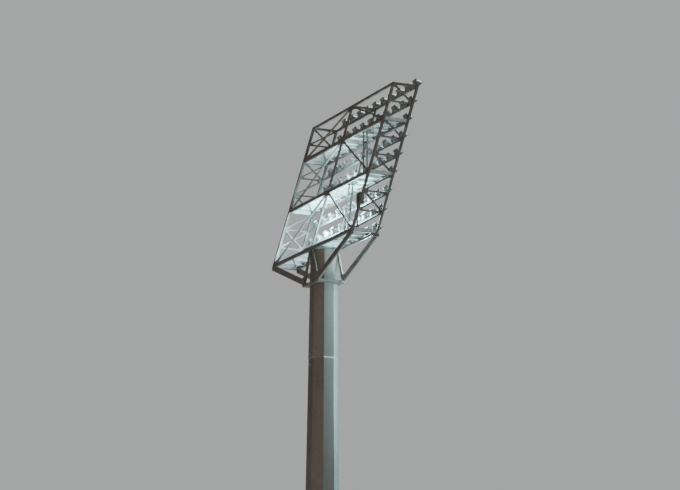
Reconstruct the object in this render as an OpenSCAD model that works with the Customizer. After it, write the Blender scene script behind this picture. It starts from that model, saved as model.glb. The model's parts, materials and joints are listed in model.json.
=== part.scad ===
// Stadium floodlight mast: a tapered octagonal steel shaft that carries a leaning
// three-deck lamp head on a collar and eight struts. Millimetres, +Z up, origin at
// the centre of the base flange's underside. The floodlights face -Y, and the
// decks run along X. The ladders are towards the -X end, the near end.

/* [Shaft] */
// Height of the lowest deck's beams above the foot
deck_1_z = 24000; // [20000:500:29000]
// Width of the shaft across its flats at the foot
foot_af = 1500; // [1250:10:1700]
// Width of the shaft across its flats at the lowest deck
head_af = 900; // [750:10:980]
// Wall of the shaft
wall = 10; // [8:1:16]
// Depth of the upper slip joint's bottom edge below the lowest deck's beams
upper_run = 4200; // [3000:100:6500]
// Height from the lower slip joint's bottom edge to the upper one's
middle_run = 10000; // [7000:100:11000]
// Overlap of the shaft sections at a slip joint
slip_lap = 1400; // [1000:50:1700]
// Thickness of the plate on top of the shaft
head_plate_t = 20; // [12:1:30]

/* [Foot] */
// Diameter of the base flange
flange_d = 2150; // [2100:10:2600]
// Thickness of the base flange
flange_t = 60; // [40:5:80]
// Diameter of the cable opening in the base flange
flange_bore = 1000; // [600:10:1100]
// Diameter of the anchor bolt circle
bolt_circle = 1900; // [1880:10:2000]
// Number of anchor bolts
bolt_n = 16; // [8:8:16]
// Diameter of an anchor bolt hole
bolt_hole = 52; // [42:1:62]
// Height of the foot's gussets
gusset_h = 400; // [300:10:500]
// Thickness of a gusset
gusset_t = 16; // [10:1:25]
// Width of the access opening
door_w = 420; // [300:10:430]
// Height of the access opening
door_h = 1300; // [700:50:1600]
// Height of the access opening's sill
door_z = 650; // [600:10:1200]
// Width of the frame around the access cover
door_rim = 60; // [40:5:70]
// Overlap of the access cover on the shaft around its opening
door_lap = 20; // [10:1:30]
// Thickness of the access cover
cover_t = 16; // [8:1:20]

/* [Collar and struts] */
// Depth of the collar's underside below the lowest deck's beams
collar_drop = 1380; // [1100:20:1700]
// Height of the collar
collar_h = 90; // [80:10:240]
// Length of the collar along X, ears included
collar_w = 1500; // [1400:10:2000]
// Thickness of the collar's plates
collar_t = 20; // [12:1:30]
// Depth of a long strut, square to its length
strut_s = 220; // [160:10:240]
// Height of a long strut's end face at the corner of the lowest deck
strut_nose = 110; // [80:10:140]
// Depth of a short strut, square to its length
short_strut_s = 120; // [90:10:150]
// Width of the struts along Y
strut_w = 70; // [60:5:140]
// Length of the collar's top outside a short strut's foot, where a long strut stands
strut_land = 60; // [40:5:100]
// Distance of the short struts' heads from the middle of a deck edge
strut_split = 110; // [100:5:200]

/* [Lamp head] */
// Width of the head between its end columns' centre lines
head_w = 7200; // [6000:100:8700]
// Depth of the head between its column centre lines
head_d = 1000; // [960:10:1200]
// Forward lean of the head's columns, in degrees
lean = 16; // [12:1:20]
// Height of the lowest storey
storey_1_h = 2250; // [1900:10:2700]
// Height of the middle storey
storey_2_h = 2100; // [1800:10:2600]
// Height of the top storey
storey_3_h = 1400; // [1200:10:1800]
// Side of a corner column
column_s = 100; // [80:5:120]
// Side of a middle post
post_s = 80; // [60:5:100]
// Side of a brace
brace_s = 60; // [45:5:75]
// Height of a deck's beams
beam_h = 140; // [115:5:170]
// Width of the beams
beam_w = 80; // [65:5:100]
// Height of the top frame's beams
top_beam_h = 90; // [75:5:110]
// Number of bays between a deck's joists
joist_bays = 10; // [8:2:12]
// Width of a joist
joist_w = 60; // [40:5:75]
// Height of a joist
joist_h = 100; // [60:5:100]
// Thickness of the flat plan braces
flat_t = 12; // [8:1:14]
// Thickness of a floor panel
floor_t = 8; // [5:1:12]
// Joint between two floor panels
floor_joint = 2; // [1:0.5:4]
// Distance of a floor's edges inside the columns' centre lines
floor_edge = 70; // [65:1:90]
// Thickness of the infill panel
panel_t = 4; // [2:1:6]

/* [Ladders] */
// Joist bay that holds the ladders, counted from the near end
ladder_bay = 3; // [2:1:4]
// Gap between a ladder and the joist on its inner side
ladder_gap = 50; // [20:5:100]
// Width of a ladder over its stiles
ladder_w = 360; // [320:10:400]
// Width of a stile
stile_w = 30; // [20:1:36]
// Depth of a stile
stile_d = 60; // [40:5:70]
// Pitch of the rungs
rung_pitch = 280; // [230:5:330]
// Diameter of a rung
rung_d = 25; // [20:1:30]
// Lean of the lower ladder, in degrees
ladder_lean = 6; // [5:1:7]
// Height of the ladders above the deck that they lead to
ladder_over = 70; // [0:10:150]
// Front edge of a hatch behind the middle of its deck
hatch_y = -20; // [-60:5:20]
// Depth of a hatch along Y
hatch_d = 420; // [400:5:450]

/* [Gear box] */
// Width of the gear box
gear_w = 320; // [260:10:400]
// Depth of the gear box
gear_d = 180; // [140:10:220]
// Height of the gear box
gear_h = 460; // [380:10:560]
// Distance of the gear box from the head's middle, towards the -X end
gear_x = 3030; // [2900:10:3150]
// Height of the gear box above the lowest deck's beams
gear_up = 1100; // [900:10:1250]

/* [Floodlights] */
// Number of floodlights in a row, even so that none stands at the middle post
lamp_n = 10; // [6:2:10]
// Pitch of the floodlights along a row
lamp_pitch = 700; // [580:10:710]
// Diameter of a floodlight's rim
lamp_d = 420; // [340:5:440]
// Depth of a floodlight from glass to rear cap
lamp_l = 290; // [240:5:320]
// Diameter of a floodlight's rear cap
cap_d = 190; // [150:5:220]
// Wall of a floodlight's housing
lamp_wall = 6; // [4:0.5:8]
// Distance of the tilt axis behind the glass
axis_back = 115; // [100:5:130]
// Distance of the tilt axis in front of its rail's centre line
axis_out = 200; // [200:5:240]
// Height of the tilt axis above its rail's centre line
axis_up = 260; // [260:5:300]
// Aim of the floodlights below the horizon, in degrees
aim = 47; // [35:1:55]
// Diameter of a tilt pin
pin_d = 16; // [12:1:20]
// Diameter of the boss around a tilt pin
boss_d = 50; // [36:2:56]
// Thickness of a stirrup
stirrup_t = 6; // [5:1:8]
// Width of a stirrup
stirrup_w = 50; // [40:5:60]
// Gap between a floodlight's rim and its stirrup's arms
stirrup_gap = 12; // [8:1:16]
// Side of a front rail
rail_s = 60; // [50:5:70]

/* [Hidden] */

$fn = 48;
seat = 0.3;         // gap where two pieces sit against each other
pin_play = 0.05;    // radial play of a tilt pin in its stirrup
rows = 9;

taper = (foot_af - head_af) / deck_1_z;
facet_lean = atan(taper / 2);
slip_2_z = deck_1_z - upper_run;
slip_1_z = slip_2_z - middle_run;
collar_z = deck_1_z - collar_drop;
shaft_top = deck_1_z - beam_h / 2 - head_plate_t;

// Heights in the head count from the lowest deck's beam centre lines
deck_2 = storey_1_h;
deck_3 = deck_2 + storey_2_h;
top = deck_3 + storey_3_h;
levels = [0, deck_2, deck_3, top];

// Clear height of each storey between its frames: [bottom, top]
storeys = [
    [beam_h / 2, deck_2 - beam_h / 2],
    [deck_2 + beam_h / 2, deck_3 - beam_h / 2],
    [deck_3 + beam_h / 2, top - top_beam_h / 2]];

column_gap = (head_d - column_s) / 2 - seat;    // half the clear depth between columns
beam_gap = (head_d - beam_w) / 2 - seat;        // half the clear depth between long beams
bay_start = column_s / 2 - head_w / 2;          // inner face of the near end's columns
bay_w = (head_w - column_s - post_s) / 2;       // clear width from column to middle post
joist_pitch = head_w / joist_bays;
ladder_x = ladder_bay * joist_pitch - (head_w + joist_w + ladder_w) / 2 - ladder_gap;

// Width across flats of the shaft's lowest section at height z, if it ran all the way up
function af(z) = foot_af - taper * z;

// Growth of the width across flats at the nth slip joint
function step(n) = n * 2 * (wall + seat);

// Y of the head's centre plane at height z in the head
function plane_y(z) = -z * tan(lean);

// Height of floodlight row k, from 1 at the lowest deck to 9 at the top frame
function row_z(k) =
    k <= 4 ? (k - 1) * storey_1_h / 3 :
    k <= 7 ? deck_2 + (k - 4) * storey_2_h / 3 :
    deck_3 + (k - 7) * storey_3_h / 2;

// True for the rows that stand on a deck's own beam
function on_deck(k) = k == 1 || k == 4 || k == 7;

// Half the height of the beam or rail that carries row k
function row_half(k) = on_deck(k) ? beam_h / 2 : k == rows ? top_beam_h / 2 : rail_s / 2;

// Corners of a straight bar of width w from p to q
function bar(p, q, w) =
    let (d = (q - p) / norm(q - p), n = [-d.y, d.x] * w / 2)
    [p - n, q - n, q + n, p + n];

// Corners of a leaning (Y, Z) outline, half each side of y, from height z0 to z1
function leaning(y, half, z0, z1) =
    [[y - half + plane_y(z0), z0], [y + half + plane_y(z0), z0],
     [y + half + plane_y(z1), z1], [y - half + plane_y(z1), z1]];

// A prism of a (Y, Z) outline, w wide along X about x
module yz_prism(points, x, w)
    translate([x - w / 2, 0, 0]) rotate([90, 0, 90]) linear_extrude(w) polygon(points);

// A prism of an (X, Z) outline, w wide along Y about y
module xz_prism(points, y, w)
    translate([0, y + w / 2, 0]) rotate([90, 0, 0]) linear_extrude(w) polygon(points);

// Puts its children in the head, whose heights count from the lowest deck
module in_head()
    translate([0, 0, deck_1_z]) children();

// A regular octagon with its flats square to X and Y
module octagon(across)
    rotate(22.5) circle(d = across / cos(22.5), $fn = 8);

// A solid octagonal taper from z0 to z1, grow wider across flats than the shaft's lowest section
module octagon_taper(z0, z1, grow)
    translate([0, 0, z0]) linear_extrude(z1 - z0, scale = (af(z1) + grow) / (af(z0) + grow))
        octagon(af(z0) + grow);

// The sector of the shaft's ith flat side, half a seat short of the bends at its edges
module side_sector(i)
    rotate(i * 45) translate([seat / 2 / sin(22.5), 0])
        polygon([[0, 0], [foot_af, -foot_af * tan(22.5)], [foot_af, foot_af * tan(22.5)]]);

// The eight flat sides of a folded shaft section, each a plate of its own
module shaft_sides(z0, z1, grow)
    for (i = [0:7]) intersection() {
        difference() {
            octagon_taper(z0, z1, grow);
            octagon_taper(z0 - 1, z1 + 1, grow - 2 * wall);
        }
        linear_extrude(z1 + 1) side_sector(i);
    }

// ---- Foot ----

module base_flange() {
    color("dimgray") difference() {
        cylinder(d = flange_d, h = flange_t);
        translate([0, 0, -1]) cylinder(d = flange_bore, h = flange_t + 2);
        for (i = [0:bolt_n - 1]) rotate(i * 360 / bolt_n)
            translate([bolt_circle / 2, 0, -1]) cylinder(d = bolt_hole, h = flange_t + 2);
    }
}

// One gusset against the facet that faces +X, set sideways by y
module gusset(y) {
    high = flange_t + gusset_h;
    toe = flange_d / 2 - 45;
    xz_prism([[af(flange_t) / 2 + seat, flange_t], [toe, flange_t], [toe, flange_t + gusset_h / 10],
              [af(high) / 2 + 30, high], [af(high) / 2 + seat, high]], y, gusset_t);
}

module base_gussets() {
    side = foot_af * tan(22.5);
    color("dimgray") for (i = [0:7]) rotate(i * 45)
        for (s = [-1, 1]) gusset(s * side / 4);
}

// Puts its children on the shaft's back facet, with local Z up the facet and Y outwards
module on_back_facet()
    translate([0, foot_af / 2, 0]) rotate([facet_lean, 0, 0]) children();

// A plate on the back facet around the access opening, out by edge on each side
module facet_plate(edge, t)
    translate([-door_w / 2 - edge, seat, door_z - edge])
        cube([door_w + 2 * edge, t, door_h + 2 * edge]);

module door_frame() {
    color("gray") on_back_facet() difference() {
        facet_plate(door_lap + door_rim, cover_t + 9);
        translate([0, -10, 0]) facet_plate(door_lap, cover_t + 30);
    }
}

module access_door()
    color("silver") on_back_facet() facet_plate(door_lap - seat, cover_t);

// ---- Shaft ----

// The lowest section; the side with the access opening is parted level with its sill and head
module shaft_lower() {
    color("gray") difference() {
        shaft_sides(flange_t, slip_1_z + slip_lap, 0);
        on_back_facet() {
            translate([-door_w / 2, -100, door_z]) cube([door_w, 200, door_h]);
            for (z = [door_z, door_z + door_h]) translate([-foot_af / 2, -100, z])
                cube([foot_af, 200, seat]);
        }
    }
}

module shaft_middle()
    color("gray") shaft_sides(slip_1_z, slip_2_z + slip_lap, step(1));

module shaft_upper()
    color("gray") shaft_sides(slip_2_z, shaft_top, step(2));

// The plate on top of the shaft that the lowest deck rests on
module head_plate()
    color("dimgray") translate([0, 0, shaft_top]) linear_extrude(head_plate_t)
        octagon(af(shaft_top) + step(2));

// ---- Collar and struts ----

strut_in = (af(collar_z) + step(2)) / 2 + 1;    // the struts' inner faces, clear of the shaft
strut_y = strut_in + strut_w / 2;
collar_d = 2 * (strut_in + strut_w);
strut_rise = collar_drop - collar_h - beam_h / 2;

module collar() {
    color("dimgray") difference() {
        union() {
            for (z = [0, collar_h - collar_t]) translate([-collar_w / 2, -collar_d / 2, collar_z + z])
                cube([collar_w, collar_d, collar_t]);
            for (s = [-1, 1]) {
                translate([-collar_w / 2, s * (collar_d - collar_t) / 2 - collar_t / 2, collar_z])
                    cube([collar_w, collar_t, collar_h]);
                translate([s * (collar_w - collar_t) / 2 - collar_t / 2, -collar_d / 2, collar_z])
                    cube([collar_t, collar_d, collar_h]);
            }
        }
        translate([0, 0, collar_z - 1]) linear_extrude(collar_h + 2)
            octagon(af(collar_z) + step(2) + 2 * seat);
    }
}

short_foot = collar_w / 2 - strut_land;         // outer edge of a short strut's foot
short_wide = short_strut_s * norm([short_foot - strut_split, strut_rise]) / strut_rise;
short_lean = (strut_split + short_wide / 2 - short_foot) / strut_rise;

// Outline of a short strut on side s, from the ear to the middle of a deck edge
function short_strut(s) =
    let (head = short_foot + short_lean * strut_rise)
    [[s * (short_foot - short_wide), 0], [s * short_foot, 0],
     [s * head, strut_rise], [s * (head - short_wide), strut_rise]];

// Outline of a long strut on side s, from the ear to a corner of the lowest deck. Its foot
// stands on the collar's top and bears against the short strut's outer edge.
function long_strut(s) =
    let (out = (head_w + beam_w) / 2,
         low = strut_rise - strut_nose,
         lean = (out - collar_w / 2) / low,
         inner = collar_w / 2 - strut_s * norm([lean, 1]),
         meet = (short_foot + seat - inner) / (lean - short_lean))
    [[s * (short_foot + seat), 0], [s * collar_w / 2, 0], [s * out, low], [s * out, strut_rise],
     [s * (inner + lean * strut_rise), strut_rise], [s * (inner + lean * meet), meet]];

// The four struts in one vertical plane at y
module strut_set(y) {
    color("gray") translate([0, 0, collar_z + collar_h]) for (s = [-1, 1]) {
        xz_prism(long_strut(s), y, strut_w);
        xz_prism(short_strut(s), y, strut_w);
    }
}

module struts_front()
    strut_set(-strut_y);

module struts_back()
    strut_set(strut_y);

// ---- Decks and frames ----

// The four edge beams at height z, h high, each between two columns
module edge_beams(z, h) {
    long = head_w - column_s;
    for (s = [-1, 1]) {
        translate([-long / 2, plane_y(z) + s * head_d / 2 - beam_w / 2, z - h / 2]) cube([long, beam_w, h]);
        yz_prism(leaning(0, column_gap, z - h / 2, z + h / 2), s * head_w / 2, beam_w);
    }
}

// A cross beam at x of the frame at height z, w wide, from z + low to z + high
module cross_beam(x, z, w, low, high)
    translate([x - w / 2, plane_y(z) - beam_gap, z + low]) cube([w, 2 * beam_gap, high - low]);

// Flat bars in plan from the front corners to the back beam's quarter points
module plan_bracing(z) {
    reach = (head_w - column_s) / 2 - seat;
    for (s = [-1, 1]) translate([0, plane_y(z), z - beam_h / 2]) intersection() {
        linear_extrude(flat_t)
            polygon(bar([s * head_w / 2, -head_d / 2], [s * head_w / 4, head_d / 2], brace_s));
        translate([-reach, -beam_gap, 0]) cube([2 * reach, 2 * beam_gap, flat_t]);
    }
}

module deck_frame(z) {
    color("gray") in_head() {
        edge_beams(z, beam_h);
        plan_bracing(z);
        for (i = [1:joist_bays - 1])
            cross_beam(i * joist_pitch - head_w / 2, z, joist_w,
                       i == joist_bays / 2 ? -beam_h / 2 : beam_h / 2 - joist_h, beam_h / 2);
    }
}

module top_frame() {
    color("gray") in_head() {
        edge_beams(top, top_beam_h);
        cross_beam(0, top, post_s, -top_beam_h / 2, top_beam_h / 2);
    }
}

// A deck's floor, one panel to each joist bay, open for the ladder where hatch is true
module deck_floor(z, hatch) {
    edge = head_d / 2 - floor_edge;
    end = (head_w - column_s) / 2 - 5;
    color("silver") in_head() translate([0, plane_y(z), z + beam_h / 2]) for (i = [0:joist_bays - 1]) {
        x0 = max(i * joist_pitch - head_w / 2 + floor_joint / 2, -end);
        x1 = min((i + 1) * joist_pitch - head_w / 2 - floor_joint / 2, end);
        if (hatch && i == ladder_bay - 1) {
            translate([x0, -edge, 0]) cube([x1 - x0, edge + hatch_y, floor_t]);
            translate([x0, hatch_y + hatch_d, 0]) cube([x1 - x0, edge - hatch_y - hatch_d, floor_t]);
        } else {
            translate([x0, -edge, 0]) cube([x1 - x0, 2 * edge, floor_t]);
        }
    }
}

// ---- Columns, posts and bracing ----

module column(x, y)
    color("gray") in_head()
        yz_prism(leaning(y * head_d / 2, column_s / 2, -beam_h / 2, top + top_beam_h / 2), x * head_w / 2, column_s);

module posts(y)
    color("gray") in_head() for (s = storeys)
        yz_prism(leaning(y * head_d / 2, post_s / 2, s[0], s[1]), 0, post_s);

// The crossed and single braces and the horizontals of one end, at x
module end_truss(x) {
    side = head_d / 2;
    color("gray") in_head() for (s = storeys) intersection() {
        yz_prism(leaning(0, column_gap, s[0], s[1]), x, brace_s);
        for (k = [1:rows - 1]) if (row_z(k) < s[1] && row_z(k + 1) > s[0]) {
            low = row_z(k);
            high = row_z(k + 1);
            yz_prism(bar([side + plane_y(low), low], [-side + plane_y(high), high], brace_s), x, brace_s);
            if (k % 2 == 0)
                yz_prism(bar([-side + plane_y(low), low], [side + plane_y(high), high], brace_s), x, brace_s);
            if (!on_deck(k))
                yz_prism(leaning(0, side, low - brace_s / 2, low + brace_s / 2), x, brace_s);
        }
    }
}

// The pair of braces in each storey's back face, from the lower corners to the upper middle
module back_bracing() {
    color("gray") in_head() for (i = [0:2], s = [-1, 1]) intersection() {
        translate([0, head_d / 2, 0]) rotate([lean, 0, 0])
            xz_prism(bar([s * head_w / 2, levels[i] / cos(lean)], [0, levels[i + 1] / cos(lean)], brace_s),
                     0, brace_s);
        translate([s > 0 ? post_s / 2 : bay_start, -head_w / 2, storeys[i][0]])
            cube([bay_w, head_w, storeys[i][1] - storeys[i][0]]);
    }
}

module front_rails() {
    color("silver") in_head() for (k = [1:rows - 1]) if (!on_deck(k)) for (s = [-1, 1])
        translate([s > 0 ? post_s / 2 : bay_start, plane_y(row_z(k)) - head_d / 2 - rail_s / 2,
                   row_z(k) - rail_s / 2])
            cube([bay_w, rail_s, rail_s]);
}

// ---- Access and gear ----

// A ladder that stands on the floor of the deck at height z with its foot at y, leaning forwards by tilt
module ladder(y, z, rise, tilt) {
    inside = ladder_w - 2 * stile_w;
    color("silver") in_head() translate([ladder_x, y, z + beam_h / 2 + floor_t]) {
        intersection() {
            rotate([tilt, 0, 0]) for (s = [-1, 1])
                translate([s * (inside + stile_w) / 2 - stile_w / 2, -stile_d / 2, -stile_d])
                    cube([stile_w, stile_d, rise + stile_d]);
            translate([-ladder_w, -rise, 0]) cube([2 * ladder_w, 2 * rise, rise + stile_d]);
        }
        rotate([tilt, 0, 0]) for (z = [rung_pitch:rung_pitch:rise - stile_d])
            translate([-inside / 2 + seat, 0, z]) rotate([0, 90, 0]) cylinder(d = rung_d, h = inside - 2 * seat);
    }
}

module ladder_lower()
    ladder(plane_y(deck_2) + deck_2 * tan(ladder_lean) + 310, 0, storey_1_h + ladder_over, ladder_lean);

module ladder_upper()
    ladder(plane_y(deck_3) + hatch_y + hatch_d - 55, deck_2, storey_2_h + ladder_over, 0);

// The infill panel in the lowest bay of the far end
module end_panel_far() {
    color("silver") in_head()
        yz_prism(leaning(0, column_gap, storeys[0][0], row_z(2)),
                 (head_w - brace_s - panel_t) / 2 - seat, panel_t);
}

gear_back = plane_y(gear_up) + head_d / 3;      // the gear box's back, against its post

module gear_post() {
    foot = beam_h / 2 + floor_t;
    color("gray") in_head() translate([-gear_x - 30, gear_back + seat, foot])
        cube([60, 40, gear_up + gear_h - 60 - foot]);
}

module gear_box() {
    color("dimgray") in_head() translate([-gear_x - gear_w / 2, gear_back - gear_d, gear_up])
        cube([gear_w, gear_d, gear_h]);
}

// ---- Floodlights ----

arm_in = lamp_d / 2 + stirrup_gap;              // inner face of a stirrup's arm

function lamp_x(i) = (i - (lamp_n - 1) / 2) * lamp_pitch;

// Puts its children at each floodlight of row k, with the origin on the tilt axis
module along_row(k)
    in_head() for (i = [0:lamp_n - 1])
        translate([lamp_x(i), plane_y(row_z(k)) - head_d / 2 - axis_out, row_z(k) + axis_up]) children();

// One stirrup about its tilt axis, with its strap down on a beam or rail of half height half
module stirrup(half) {
    w = stirrup_w / 2;
    foot = half - axis_up;
    translate([-arm_in - stirrup_t, axis_out - w, foot]) cube([2 * (arm_in + stirrup_t), stirrup_w, stirrup_t]);
    for (s = [-1, 1]) difference() {
        union() {
            yz_prism([[axis_out - w, foot], [axis_out + w, foot], [w, 0], [-w, 0]],
                     s * (arm_in + stirrup_t / 2), stirrup_t);
            rotate([0, s * 90, 0]) translate([0, 0, arm_in]) cylinder(r = w, h = stirrup_t);
        }
        rotate([0, s * 90, 0]) translate([0, 0, arm_in - 1])
            cylinder(r = pin_d / 2 + pin_play, h = stirrup_t + 2);
    }
}

module stirrups(k)
    color("dimgray") along_row(k) stirrup(row_half(k));

// Half outline of a housing about its own axis, in by inset: [radius, distance behind the glass]
function housing(inset) =
    let (rim = lamp_d / 2 - inset, neck = cap_d / 2 - inset)
    [[0, inset], [rim, inset], [rim, 38 - inset], [rim - 14, 46 - inset / 2],
     [rim - 62, lamp_l - 105 - inset / 2], [neck, lamp_l - 62 - inset], [neck, lamp_l - inset],
     [0, lamp_l - inset]];

// One floodlight about its tilt axis, aimed forwards and down
module lamp() {
    rotate([90 + aim, 0, 0]) translate([0, 0, axis_back]) mirror([0, 0, 1]) difference() {
        rotate_extrude() polygon(housing(0));
        rotate_extrude() polygon(housing(lamp_wall));
    }
    for (s = [-1, 1]) rotate([0, s * 90, 0]) {
        translate([0, 0, lamp_d / 2 - 50]) cylinder(d = boss_d, h = arm_in - seat - lamp_d / 2 + 50);
        translate([0, 0, lamp_d / 2]) cylinder(d = pin_d, h = arm_in + stirrup_t + 6 - lamp_d / 2);
    }
}

module lamps(k)
    color("silver") along_row(k) lamp();

base_flange();
base_gussets();
door_frame();
access_door();
shaft_lower();
shaft_middle();
shaft_upper();
head_plate();
collar();
struts_front();
struts_back();
deck_frame(0);  // deck_1_frame
deck_frame(deck_2);  // deck_2_frame
deck_frame(deck_3);  // deck_3_frame
top_frame();
deck_floor(0, false);  // deck_1_floor
deck_floor(deck_2, true);  // deck_2_floor
deck_floor(deck_3, true);  // deck_3_floor
column(-1, 1);  // column_near_back
column(-1, -1);  // column_near_front
column(1, 1);  // column_far_back
column(1, -1);  // column_far_front
posts(1);  // back_posts
posts(-1);  // front_posts
end_truss(-head_w / 2);  // end_truss_near
end_truss(head_w / 2);  // end_truss_far
back_bracing();
front_rails();
ladder_lower();
ladder_upper();
end_panel_far();
gear_box();
gear_post();
for (k = [1:rows]) stirrups(k);
for (k = [1:rows]) lamps(k);
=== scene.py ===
import json
import math

import bpy
import numpy as np
from mathutils import Matrix, Vector


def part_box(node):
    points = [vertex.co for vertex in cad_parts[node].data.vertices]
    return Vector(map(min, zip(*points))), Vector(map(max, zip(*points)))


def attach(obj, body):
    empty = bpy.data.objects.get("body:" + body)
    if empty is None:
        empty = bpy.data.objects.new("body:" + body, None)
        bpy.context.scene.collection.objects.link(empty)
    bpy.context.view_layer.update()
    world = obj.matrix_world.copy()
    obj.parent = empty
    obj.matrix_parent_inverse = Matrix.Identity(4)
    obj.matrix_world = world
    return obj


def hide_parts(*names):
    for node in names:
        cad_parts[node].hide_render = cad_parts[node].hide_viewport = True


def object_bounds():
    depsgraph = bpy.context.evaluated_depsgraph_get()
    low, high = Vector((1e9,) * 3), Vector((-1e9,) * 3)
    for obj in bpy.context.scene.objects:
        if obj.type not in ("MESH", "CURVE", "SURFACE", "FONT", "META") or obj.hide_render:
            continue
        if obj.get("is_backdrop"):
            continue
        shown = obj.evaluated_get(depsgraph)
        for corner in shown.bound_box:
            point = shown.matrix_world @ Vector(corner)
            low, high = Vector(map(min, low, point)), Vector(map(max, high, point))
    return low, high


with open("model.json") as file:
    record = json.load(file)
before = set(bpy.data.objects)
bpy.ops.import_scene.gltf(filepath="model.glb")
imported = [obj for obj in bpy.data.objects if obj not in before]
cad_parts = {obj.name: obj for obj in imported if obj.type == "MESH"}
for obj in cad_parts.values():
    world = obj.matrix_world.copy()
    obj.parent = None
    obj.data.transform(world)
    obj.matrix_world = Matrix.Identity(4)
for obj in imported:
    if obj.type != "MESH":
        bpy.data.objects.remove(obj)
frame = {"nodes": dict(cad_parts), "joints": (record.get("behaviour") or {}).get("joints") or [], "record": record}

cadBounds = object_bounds()


# A shape is (points, faces): an N x 3 array in metres and lists of point numbers

def placed(shape, matrix):
    points, faces = shape
    turn = np.array(matrix)
    return points @ turn[:3, :3].T + turn[:3, 3], faces


def joined(shapes):
    points, faces, start = [], [], 0
    for shapePoints, shapeFaces in shapes:
        points.append(shapePoints)
        faces += [[i + start for i in face] for face in shapeFaces]
        start += len(shapePoints)
    return np.concatenate(points), faces


def boxShape(size, at=(0, 0, 0)):
    points = np.array([[x, y, z] for x in (-.5, .5) for y in (-.5, .5) for z in (-.5, .5)])
    faces = [[0, 1, 3, 2], [4, 6, 7, 5], [0, 4, 5, 1], [2, 3, 7, 6], [0, 2, 6, 4], [1, 5, 7, 3]]
    return points * np.array(size) + np.array(at), faces


# An outline in X and Y, extruded from z = low to z = high
def plateShape(outline, low, high):
    count = len(outline)
    area = sum(outline[i - 1][0] * outline[i][1] - outline[i][0] * outline[i - 1][1] for i in range(count))
    ring = list(outline) if area > 0 else list(reversed(outline))
    points = np.array([[x, y, z] for z in (low, high) for x, y in ring])
    sides = [[i, (i + 1) % count, (i + 1) % count + count, i + count] for i in range(count)]
    return points, [list(reversed(range(count))), list(range(count, 2 * count))] + sides


# Turns a profile of (radius, z) points about Z; the points run so that the outside is on their right
def latheShape(profile, turns=32):
    points, rings = [], []
    for radius, z in profile:
        around = turns if radius > 1e-6 else 1
        rings.append(list(range(len(points), len(points) + around)))
        points += [[radius * math.cos(2 * math.pi * i / turns), radius * math.sin(2 * math.pi * i / turns), z]
                   for i in range(around)]
    faces = []
    for lower, upper in zip(rings, rings[1:]):
        for i in range(turns):
            j = (i + 1) % turns
            corners = [ring[k % len(ring)] for ring, k in ((lower, i), (lower, j), (upper, j), (upper, i))]
            face = [c for n, c in enumerate(corners) if c not in corners[:n]]
            if len(face) > 2:
                faces.append(face)
    return np.array(points), faces


# The points of a profile or an outline, counted from a base point
def shifted(profile, first, second):
    return [(first + u, second + v) for u, v in profile]


# Places local Z along a direction at a point
def facing(direction, at):
    return Matrix.Translation(at) @ Vector(direction).to_track_quat("Z", "Y").to_matrix().to_4x4()


def rodShape(start, end, radius, sides=12):
    start, end = Vector(start), Vector(end)
    length = (end - start).length
    rod = latheShape([(0, 0), (radius, 0), (radius, length), (0, length)], sides)
    return placed(rod, facing(end - start, start))


# A washer and a hexagon head on z = 0; sizes are shares of the head's corner radius and height
boltForm = {"washerReach": 1.22, "washerHigh": .22, "headLow": .2, "crownReach": .86, "crownHigh": 1.12,
            "turns": 14}


def boltShape(acrossFlats, height):
    corner = acrossFlats / math.sqrt(3)
    reach, high = corner * boltForm["washerReach"], height * boltForm["washerHigh"]
    low, crown = height * boltForm["headLow"], height * boltForm["crownHigh"]
    washer = latheShape([(0, 0), (reach, 0), (reach, high), (0, high)], boltForm["turns"])
    head = latheShape([(0, low), (corner, low), (corner, height), (corner * boltForm["crownReach"], crown),
                       (0, crown)], 6)
    return joined([washer, head])


def boltsAt(spots, acrossFlats, height):
    bolt = boltShape(acrossFlats, height)
    return joined([placed(bolt, facing(direction, at)) for at, direction in spots])


# The convex outline around some points, counterclockwise
def aroundPoints(points):
    ordered = sorted(set((round(p[0], 5), round(p[1], 5)) for p in points))

    def chain(run):
        kept = []
        for p in run:
            while len(kept) > 1 and ((kept[-1][0] - kept[-2][0]) * (p[1] - kept[-2][1])
                                     - (kept[-1][1] - kept[-2][1]) * (p[0] - kept[-2][0])) <= 0:
                kept.pop()
            kept.append(p)
        return kept[:-1]

    return chain(ordered) + chain(reversed(ordered))


# Makes one object from {material name: shape or list of shapes} and hangs it on a body
def makePiece(name, layers, body="mast", stands=(), sharpAngle=32):
    shapes = [joined(shape) if isinstance(shape, list) else shape for shape in layers.values()]
    points, faces = joined(shapes)
    layerOf = [number for number, shape in enumerate(shapes) for _ in shape[1]]
    mesh = bpy.data.meshes.new(name)
    mesh.from_pydata(points.tolist(), [], faces)
    for key in layers:
        mesh.materials.append(materials[key])
    mesh.polygons.foreach_set("material_index", layerOf)
    mesh.polygons.foreach_set("use_smooth", [True] * len(faces))
    mesh.set_sharp_from_angle(angle=math.radians(sharpAngle))
    mesh.update()
    piece = bpy.data.objects.new(name, mesh)
    bpy.context.scene.collection.objects.link(piece)
    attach(piece, body)
    if stands:
        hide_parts(*stands)


# Plates with their bolts, which is what most of the mast's fittings are; bolt is (across flats, height)
def makeFittings(name, plates, spots, bolt, finish="frameZinc"):
    makePiece(name, {finish: plates, "boltZinc": boltsAt(spots, *bolt)})


# Places in the head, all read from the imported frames, columns and joints
def boxSize(node):
    low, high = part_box(node)
    return high - low


def boxMiddle(node):
    low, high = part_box(node)
    return (low + high) / 2


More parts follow.
